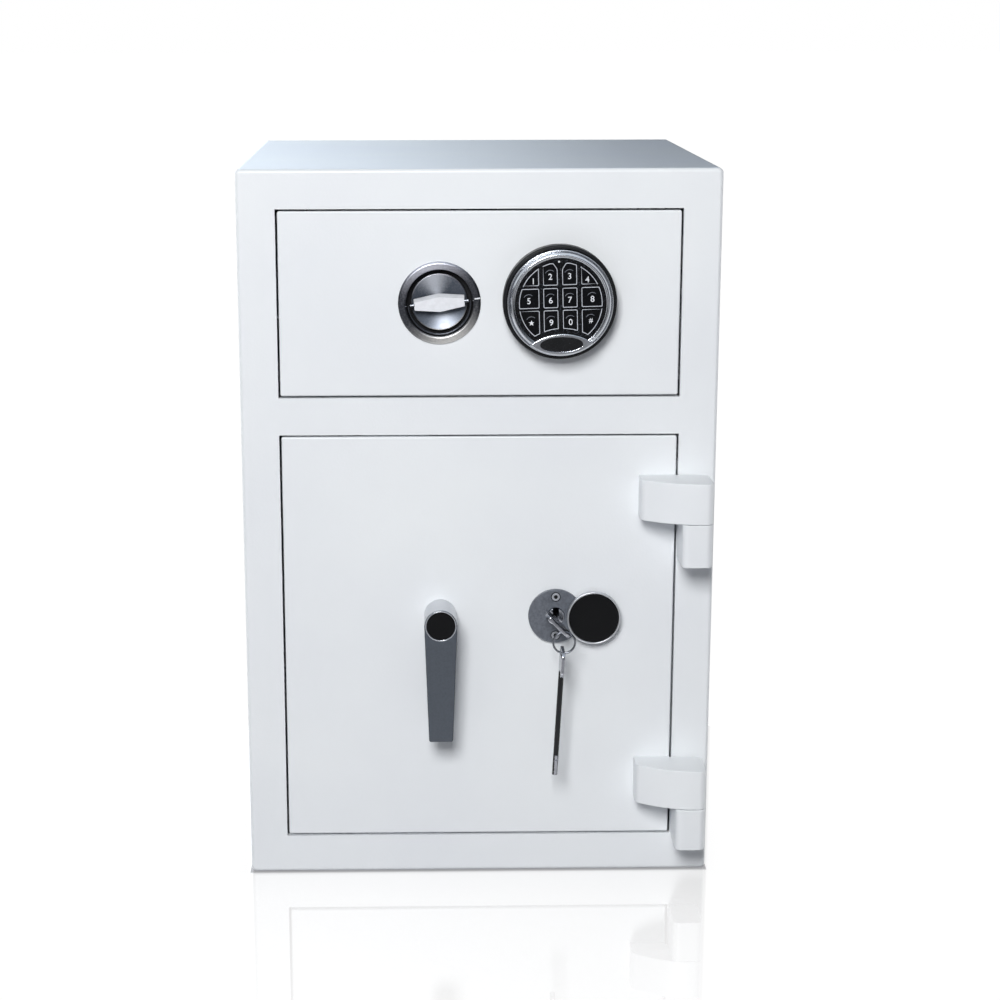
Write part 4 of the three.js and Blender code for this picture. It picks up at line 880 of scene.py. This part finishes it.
def makeKeypad(size):
    place = frontPlace(keypadPlace)
    rim, front = size.rimFront, size.bezelFront
    base = lathe([
        (0, -size.stemLength), (size.stemRadius, -size.stemLength), (size.stemRadius, 0),
        (size.backRadius, 0), (size.baseRadius, size.baseDepth / 2), (size.baseRadius, rim - size.rimEdge),
        (size.baseRadius - size.rimEdge, rim), (size.rimInner, rim), (size.rimInner, size.baseDepth),
        (0, size.baseDepth)], 0.7, 5, size.segments)
    addPiece("keypadBase", base, place, [baseBlack], "drawer", ("keypad_base",))
    bezel = lathe([(size.seat, size.baseDepth), (size.bezelRadius, size.baseDepth)]
                  + [(size.bezelRadius - inward, front - down) for inward, down in size.bezelSteps]
                  + [(size.seat, front - size.bezelInnerFall)], 0.4, 5, size.segments, True)
    addPiece("keypadBezel", bezel, place, [chrome], "drawer", ("keypad_bezel",))

    face = rod(size.faceRadius, size.baseDepth, size.faceFront, size.segments, 0.3)
    pockets = []
    top = -size.keyFront
    for row, keys in enumerate(size.keys):
        for column, (mark, (across, up)) in enumerate(keys):
            outline = softened(clippedKey((size.columns[column], size.rows[row]), size), size.keyCorner, 5)
            pockets.append(plate(grown(outline, size.gap), size.pocketBack, size.faceFront + 1))
            key = plate(outline, size.keyBack, size.keyFront, size.keyEdge)
            body = "button_" + mark
            addPiece("keyCap-" + mark, key, place, [keyBlack], body, ("key_" + mark,))
            edge = [(x, top, z) for x, z in grown(outline, -size.beadInset)]
            line = beadAlong(edge, True, size.bead, keyLine)
            addPiece("keyLine-" + mark, line, place, [keyLine], body)
            # The photograph shows a gleam above the digit on every key but these
            if mark not in ("1", "4"):
                bow = [(x, top + size.gleamSunk, z) for x, z in arc(
                    across, up + size.shineUp, size.shineRadius, size.shineStart, size.shineEnd, 16)]
                gleam = beadAlong(bow, False, size.gleamWire, keyShine)
                addPiece("keyGleam-" + mark, gleam, place, [keyShine], body)
            digit = moved(digitShape(mark, size), (across, top, up))
            addPiece("keyMark-" + mark, digit, place, [digitWhite], body)
    face = carved(face, pockets)
    addPiece("keypadFace", face, place, [faceBlack], "drawer", ("keypad_face",))

    lamp = lathe([(0, size.lampBack), (size.lampRadius, size.lampBack), (size.lampRadius, size.lampFront),
                  (0, size.lampCrown)], 0.3, 3, 24)
    across, up = size.lampSpot
    addPiece("readyLamp", moved(lamp, (across, 0, up)), place, [lampWhite], "drawer")
    oval = [(size.blankHalf * x, size.blankUp + size.blankRise * z)
            for x, z in arc(0, 0, 1, 0, 360, 96)[:-1]]
    surround = plate(lens(size), size.faceFront - 0.1, size.plateFront, 0.8, 0, 4)
    surround = carved(surround, [plate(grown(oval, size.blankGap), size.plateSeat, size.plateFront + 1)])
    addPiece("namePlateFrame", surround, place, [chrome], "drawer")
    blank = plate(oval, size.plateSeat, size.blankFront, 0.2, 0, 3)
    addPiece("namePlateBlank", blank, place, [baseBlack], "drawer")


makeKeypad(SimpleNamespace(**keypad))
print("keypad made")


# Lever

lever = {
    "head": 12.25, "reach": 89.8, "tipHalf": 9, "tipRadius": 1.6, "back": 22, "front": 33, "edge": 1.2,
    "inlay": 10.5, "inlayHole": 10.8, "inlayBack": 32, "inlayFront": 32.7, "rim": 0.7,
    "rimRise": 0.15, "boss": 12, "bossGap": 0.3, "spindle": 6,
}


def makeLever(size):
    place = frontPlace(leverPlace)
    tip, soft = size.tipHalf, size.tipRadius
    outline = (arc(tip - soft, soft - size.reach, soft, -90, 0, 6) + arc(0, 0, size.head, 0, 180, 64)
               + arc(soft - tip, soft - size.reach, soft, 180, 270, 6))
    body = plate(outline, size.back, size.front, size.edge, size.edge, 4)
    body = carved(body, [rod(size.inlayHole, size.inlayBack, size.front + 1, 96)])
    # The arm's upper sides take the pale nickel finish, a painted highlight where light from above falls on
    # the slate coat
    for face in body.faces:
        face.normal_update()
        if face.calc_center_median().z > 0.5 and abs(face.normal.y) < 0.8:
            face.material_index = 1
    addPiece("leverArm", body, place, [slate, palePlate], "handle", ("lever_handle",))
    inlay = rod(size.inlay, size.inlayBack, size.inlayFront, 96, 0.25)
    addPiece("leverInlay", inlay, place, [inlayBlack], "handle", ("handle_inlay",))
    hole, wide, top = size.inlayHole, size.inlayHole + size.rim, size.front + size.rimRise
    rim = lathe([(hole, size.inlayBack), (wide, size.inlayBack), (wide, top), (hole, top)],
                0.2, 3, 96, True)
    addPiece("leverRim", rim, place, [chrome], "handle")
    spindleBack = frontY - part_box("handle_spindle")[1][1] / millimetre
    boss = lathe([(0, spindleBack), (size.spindle, spindleBack),
                  (size.spindle, size.bossGap), (size.boss, size.bossGap),
                  (size.boss, size.back), (0, size.back)], 0.5, 4, 96)
    addPiece("leverBoss", boss, place, [palePlate], "handle", ("handle_spindle",))


makeLever(SimpleNamespace(**lever))
print("lever made")


# Key lock

keyLock = {
    "escutcheon": 20.5, "thickness": 3.3, "bore": 6.6, "screwUp": 14.9, "screw": 2, "screwLength": 7,
    "screwHead": 3.4, "headDepth": 1.6, "socket": 1.7, "nose": 6.3, "noseFront": 4.6, "noseBase": 9,
    "noseBack": -5.7, "slotHalf": 2.3, "slotReach": 6.45,
    "pivotX": 13.8, "coverX": 28.2, "cover": 20, "coverBack": 5, "coverFront": 10, "inlay": 18.6,
    "inlaySeat": 18.9, "inlayBack": 9.2, "inlayFront": 9.7, "pin": 2.5, "washer": 4.5,
    "gap": 0.3, "pinHole": 2.9, "socketDepth": 1.2, "headEdge": 0.45,
}


def rowOfCopies(nodes, given):
    line = nodes.add("GeometryNodeMeshLine", None, {
        "Count": given["Count"], "Start Location": given["Start"], "Offset": given["Step"]})
    return nodes.add("GeometryNodeInstanceOnPoints", None, {"Points": line, "Instance": given["Geometry"]})


screwTree = geometryTree("screwPair", {
    "Count": ("Int", 2), "Start": ("Vector", (0, 0, 0)), "Step": ("Vector", (0, 0, 1))}, rowOfCopies)


def makeKeyLock(size):
    place = frontPlace(lockPlace)
    thick, up = size.thickness, size.screwUp
    ring = lathe([(size.bore, 0), (size.escutcheon, 0), (size.escutcheon, thick), (size.bore, thick)],
                 0.5, 4, 128, True)
    headBack = thick - size.headDepth
    tools = [moved(rod(size.pinHole, -1, thick + 1, 32), (size.pivotX, 0, 0))]
    for z in (-up, up):
        tools.append(moved(rod(size.screw + size.gap, -1, thick, 32), (0, 0, z)))
        tools.append(moved(rod(size.screwHead + size.gap, headBack, thick + 1, 48), (0, 0, z)))
    addPiece("keyEscutcheon", carved(ring, tools), place, [escutcheonGrey], "door",
             ("key_escutcheon",))

    tip = thick - size.screwLength
    screw = lathe([(0, tip), (size.screw, tip), (size.screw, headBack), (size.screwHead, headBack),
                   (size.screwHead, thick), (0, thick)], 0.35, 4, 48)
    screw = carved(screw, [rod(size.socket, thick - size.socketDepth, thick + 1, 6)])
    screws = runGeometry(screwTree, screw, {
        "Count": 2, "Start": (0, 0, -up), "Step": (0, 0, 2 * up), "Finish": screwGrey})
    # Sockets and the heads' rims are painted dark as shade in the recess and in the gap round each head
    for face in screws.faces:
        middle = face.calc_center_median()
        spread = hypot(middle.x, abs(middle.z) - up)
        if spread < size.socket and -middle.y < thick - 0.1 or spread > size.screwHead - size.headEdge:
            face.material_index = 1
    addPiece("escutcheonScrews", screws, place, [screwGrey, paintedShadeAndReflectionSteel], "door",
             ("escutcheon_screw_top", "escutcheon_screw_bottom"))

    nose = lathe([(0, size.noseBack), (size.noseBase, size.noseBack), (size.noseBase, 0), (size.nose, 0),
                  (size.nose, size.noseFront), (0, size.noseFront)], 0.4, 4, 64)
    nose = carved(nose, [block(-size.slotHalf, size.slotHalf, size.noseBack - 1, size.noseFront + 1,
                               -size.slotReach, size.slotReach)])
    addPiece("lockNose", nose, place, [chrome], "door", ("lock_nose",))

    disc = lathe([(0, size.coverBack), (size.cover, size.coverBack), (size.cover, size.coverFront),
                  (size.inlaySeat, size.coverFront), (size.inlaySeat, size.inlayBack), (0, size.inlayBack)],
                 0.45, 4, 128)
    moved(disc, (size.coverX, 0, 0))
    pivot = moved(rod(size.pin, size.gap, size.coverBack + 1, 32), (size.pivotX, 0, 0))
    washer = moved(rod(size.washer, thick + size.gap, size.coverBack + 1, 48), (size.pivotX, 0, 0))
    addPiece("keyholeCover", carved(disc, [pivot, washer], "UNION"), place, [palePlate], "keyhole_flap",
             ("keyhole_cover",))
    inlay = moved(rod(size.inlay, size.inlayBack, size.inlayFront, 128, 0.25), (size.coverX, 0, 0))
    addPiece("keyholeCoverInlay", inlay, place, [inlayBlack], "keyhole_flap",
             ("cover_inlay",))


makeKeyLock(SimpleNamespace(**keyLock))
print("key lock made")


# Keys and ring

keyTool = {
    "length": 98, "bowWidth": 24.5, "bowLength": 20, "bowThick": 2.4, "corner": 5, "slotHalf": 10.7,
    "slotWidth": 3.2, "margin": 2, "shank": 2, "root": 3, "bitThick": 2, "bitReach": 5.8, "bitLength": 14,
    "bitTip": 2, "notch": 1.8, "bowOut": 34.5, "turn": radians(45), "ring": 8.05, "wire": 0.8,
    "hole": 6.6, "lean": radians(3), "ringTurn": radians(8), "slack": 0.4,
    "bowEdge": 0.4, "bitEdge": 0.15,
}


def keyShape(size):
    # One key hanging along -Z from the top of its bow, flat across Y
    half = size.bowWidth / 2
    bow = plate(rectangle(-half, half, -size.bowLength, 0, size.corner, 8),
                -size.bowThick / 2, size.bowThick / 2, size.bowEdge, size.bowEdge, 2)
    slotTop = -size.margin
    slot = plate(rectangle(-size.slotHalf, size.slotHalf, slotTop - size.slotWidth, slotTop,
                           size.slotWidth / 2 - 0.01, 6), -3, 3)
    bow = carved(bow, [slot])
    low = -size.length + size.bitTip
    high = low + size.bitLength
    step = size.bitLength / 4
    reach, near = size.bitReach, size.bitReach - size.notch
    bits = plate([(-reach, low), (near, low), (near, low + step), (reach, low + step),
                  (reach, high - step), (near, high - step), (near, high), (-near, high),
                  (-near, high - step), (-reach, high - step)],
                 -size.bitThick / 2, size.bitThick / 2, size.bitEdge, size.bitEdge, 1)
    shank = moved(rod(size.shank, -size.length, size.root - size.bowLength, 32, 0.3),
                  turn=(-pi / 2, "X"))
    # The plates above are drawn across X and turned to lie across Y
    quarter = Matrix.Rotation(pi / 2, 4, "Z")
    for part in (bow, bits):
        part.transform(quarter)
    return carved(bow, [shank, bits], "UNION")


def makeKeys(size):
    place = frontPlace(lockPlace)
    inserted = keyShape(size)
    inserted.transform(Matrix.Rotation(-size.turn, 4, "Y") @ Matrix.Translation((0, -size.bowOut, 0))
                       @ Matrix.Rotation(pi / 2, 4, "X"))
    addPiece("insertedKey", inserted, place, [keySteel], "lock_key", ("inserted_key",), 30)
    ringOut = size.bowOut - size.margin - size.slotWidth / 2
    hang = Vector((size.hole * sin(size.turn), -ringOut, -size.hole * cos(size.turn)))
    steps = 80
    bends = [2 * pi * i / steps for i in range(steps)]
    ring = moved(bentWire(size.ring, size.wire, bends, True), (0, 0, -size.ring))
    addPiece("keyRing", moved(ring, hang), place, [ringSteel], "ring", ("key_ring",))
    spare = keyShape(size)
    # The spare key's shank, seen edge-on, is painted dark as a painted reflection
    for face in spare.faces:
        along = -face.calc_center_median().z
        if size.bowLength < along < size.length - size.bitTip - size.bitLength:
            face.material_index = 1
    spareX = -size.ring * sin(size.ringTurn)
    spareZ = -size.ring - size.ring * cos(size.ringTurn)
    spare.transform(Matrix.Translation(hang + Vector((spareX, 0, spareZ)))
                    @ Matrix.Rotation(size.lean, 4, "Y")
                    @ Matrix.Translation((0, 0, size.margin + size.slack + size.wire)))
    addPiece("spareKey", spare, place, [keySteel, paintedShadeAndReflectionSteel], "spare", ("spare_key",), 30)


makeKeys(SimpleNamespace(**keyTool))
print("keys made")


# The pieces that stay as they came

# In metres, as Blender's modifiers take them
innerEdge = {"weld": 0.000001, "width": 0.0004, "segments": 2, "least": radians(40)}
slotFinishes = {
    "white_enamel": whiteEnamel, "inside_enamel": insideEnamel, "zinc_plate": zincSheet,
    "bright_steel": brightSteel, "brushed_steel": pullSteelPaintedWedges, "chrome": chrome, "slate_metal": slate,
    "pale_metal": palePlate, "black_gloss": faceBlack, "black_matt": baseBlack,
}
for node in frame["nodes"].values():
    slotName = node.material_slots[0].material.name.split(".")[0]
    node.data.materials[0] = slotFinishes[slotName]
    if node.hide_render:
        continue
    weld = node.modifiers.new("weld", "WELD")
    weld.merge_threshold = innerEdge["weld"]
    bevel = node.modifiers.new("softEdges", "BEVEL")
    bevel.width = innerEdge["width"]
    bevel.segments = innerEdge["segments"]
    bevel.limit_method = "ANGLE"
    bevel.angle_limit = innerEdge["least"]
    bevel.harden_normals = True
print("inner pieces finished")


# Floor, light and camera

studio = {
    "floorHalf": 30, "floorColour": (0.4, 0.4, 0.42), "white": 1.03, "beside": 1.28,
    "air": 0.08, "airColour": (0.8, 0.9, 1),
    "sheetStart": 0.3, "sheetEnd": 0.7, "roomFloor": 0.12,
    "wallPeak": 2.5, "wallColour": (0.82, 0.91, 1), "wallRight": 0, "wallFront": 0.06, "overhead": 0.4,
    "wallAcross": (-0.07, 0.1), "wallBack": (0.1, 0.6), "wallUp": (0.4, 0.8),
    "mirror": 0.3, "mirrorFade": 0.42, "mirrorRight": 0.14, "mirrorLeft": 0.078, "mirrorEdge": 0.002,
    "contactShare": 0.15, "contactReach": 0.06,
    "lineReach": 0.004, "lineShare": 0.6, "lineInset": 0.001, "lineColour": (0.1, 0.1, 0.12),
    "lens": 80.131887, "sensor": 36, "shift": (0.052468, 0.069618), "clip": (0.05, 300),
    "cameraSpot": (-0.049602, -1.784793, 0.647688), "cameraTurn": (1.322636, 0.001954, -0.016661),
}
# Place, aim, size, watts, and whether a mirror sees it. The low back lamps light the safe's sides and back
lamps = {
    "keyLamp": ((-0.35, -2.2, 1.45), (0, 0, 0.3), (0.75, 0.75), 47, True),
    "fillLamp": ((-1.3, -2, 0.5), (0, 0, 0.2), (1.2, 1.2), 2, True),
    "backLeftLamp": ((-1.9, 1, 0.26), (0, 0, 0.26), (0.9, 0.4), 26, False),
    "backRightLamp": ((1.9, 1, 0.26), (0, 0, 0.26), (0.9, 0.4), 26, False),
}


def emptyTree(owner):
    owner.use_nodes = True
    owner.node_tree.nodes.clear()
    return Nodes(owner.node_tree)


def makeFloor(size):
    mesh = bpy.data.meshes.new("studioFloor")
    half = size.floorHalf
    corners = [(-half, -half, 0), (half, -half, 0), (half, half, 0), (-half, half, 0)]
    mesh.from_pydata(corners, [], [(0, 1, 2, 3)])
    floor = newObject("studioFloor", mesh)
    material = bpy.data.materials.new("studioFloor")
    nodes = emptyTree(material)
    camera, glossy, transmission = nodes.rays()
    across, depth, _ = nodes.split(nodes.add("ShaderNodeTexCoord", None, None, 3))
    sideways = abs(across)
    # The safe's front stands at this depth, and its back and sides as far from the middle
    front = frontY * millimetre
    side = -front

    def glow(colour, strength):
        return nodes.add("ShaderNodeEmission", None, {"Color": (*colour, 1), "Strength": strength})

    # A mirror sees the white floor near the safe, and the dim room's floor in front of it
    sheet = nodes.remap(depth, front - size.sheetEnd, front - size.sheetStart, size.roomFloor, 1)
    seen = camera + glossy * sheet + transmission
    # Pale shade on the floor beside the safe
    beside = nodes.remap(sideways, side + size.contactReach, side, 0, size.contactShare)
    near = nodes.remap(depth, front - size.contactReach, front)
    behind = nodes.remap(depth, side + size.contactReach, side)
    lit = nodes.add("ShaderNodeBsdfDiffuse", None, {"Color": (*size.floorColour, 1)})
    contact = nodes.blend(0.5, glow((1, 1, 1), size.beside), lit)
    shown = nodes.blend(beside * near * behind, glow((1, 1, 1), size.white), contact)
    # The mirrored front fades and narrows towards the camera
    fade = nodes.remap(depth, front - size.mirrorFade, front, 0, size.mirror)
    nearer = front - depth
    widest = (nearer * size.mirrorRight + across).maths("MAXIMUM", nearer * size.mirrorLeft - across)
    edge = nodes.remap(widest, side + size.mirrorEdge, side - size.mirrorEdge)
    under = depth.maths("LESS_THAN", side)
    gloss = nodes.add("ShaderNodeBsdfGlossy", None, {"Color": (1, 1, 1, 1), "Roughness": 0.02})
    shown = nodes.blend(fade * edge * under, shown, gloss)
    # A painted contact shadow: a dark line where the safe stands on the floor
    line = nodes.remap(depth, front - size.lineReach, front, 0, size.lineShare)
    inside = sideways.maths("LESS_THAN", side + size.lineInset)
    shown = nodes.blend(line * inside * under, shown, glow(size.lineColour, 1))
    nodes.add("ShaderNodeOutputMaterial", None, {"Surface": nodes.blend(seen, lit, shown)})
    mesh.materials.append(material)


def makeWorld(size):
    world = bpy.data.worlds.new("studio")
    bpy.context.scene.world = world
    nodes = emptyTree(world)
    camera, glossy, transmission = nodes.rays()
    # Behind the safe a mirror sees a wall that is white on the left, and in front a dim room
    toRight, toBack, toSky = nodes.split(nodes.add("ShaderNodeTexCoord"))
    wall = nodes.remap(toRight, *size.wallAcross, 1, size.wallRight)
    behind = nodes.remap(toBack, *size.wallBack)
    above = nodes.remap(toSky, *size.wallUp, 0, size.overhead)

    def light(colour, strength):
        return nodes.add("ShaderNodeBackground", None, {"Color": (*colour, 1), "Strength": strength})

    mirrored = nodes.blend(wall * behind + above, light(size.wallColour, size.wallFront),
                           light(size.wallColour, size.wallPeak))
    around = nodes.blend(glossy, light(size.airColour, size.air), mirrored)
    both = nodes.blend(camera + transmission, around, light((1, 1, 1), 1))
    nodes.add("ShaderNodeOutputWorld", None, {"Surface": both})


def softLamp(name, spot, aim, width, power, mirrored):
    lamp = bpy.data.lights.new(name, "AREA")
    lamp.shape = "RECTANGLE"
    lamp.size, lamp.size_y = width
    lamp.energy = power
    item = newObject(name, lamp)
    item.location = spot
    item.rotation_euler = (Vector(aim) - Vector(spot)).to_track_quat("-Z", "Y").to_euler()
    item.visible_camera = False
    item.visible_glossy = mirrored


def makeCamera(size):
    camera = bpy.data.cameras.new("photoView")
    camera.sensor_width = size.sensor
    camera.lens = size.lens
    camera.shift_x, camera.shift_y = size.shift
    camera.clip_start, camera.clip_end = size.clip
    item = newObject("photoView", camera)
    item.location = size.cameraSpot
    item.rotation_euler = size.cameraTurn
    bpy.context.scene.camera = item


room = SimpleNamespace(**studio)
makeFloor(room)
makeWorld(room)
for name, settings in lamps.items():
    softLamp(name, *settings)
makeCamera(room)
bpy.context.scene.view_settings.view_transform = "Standard"

print("studio made")
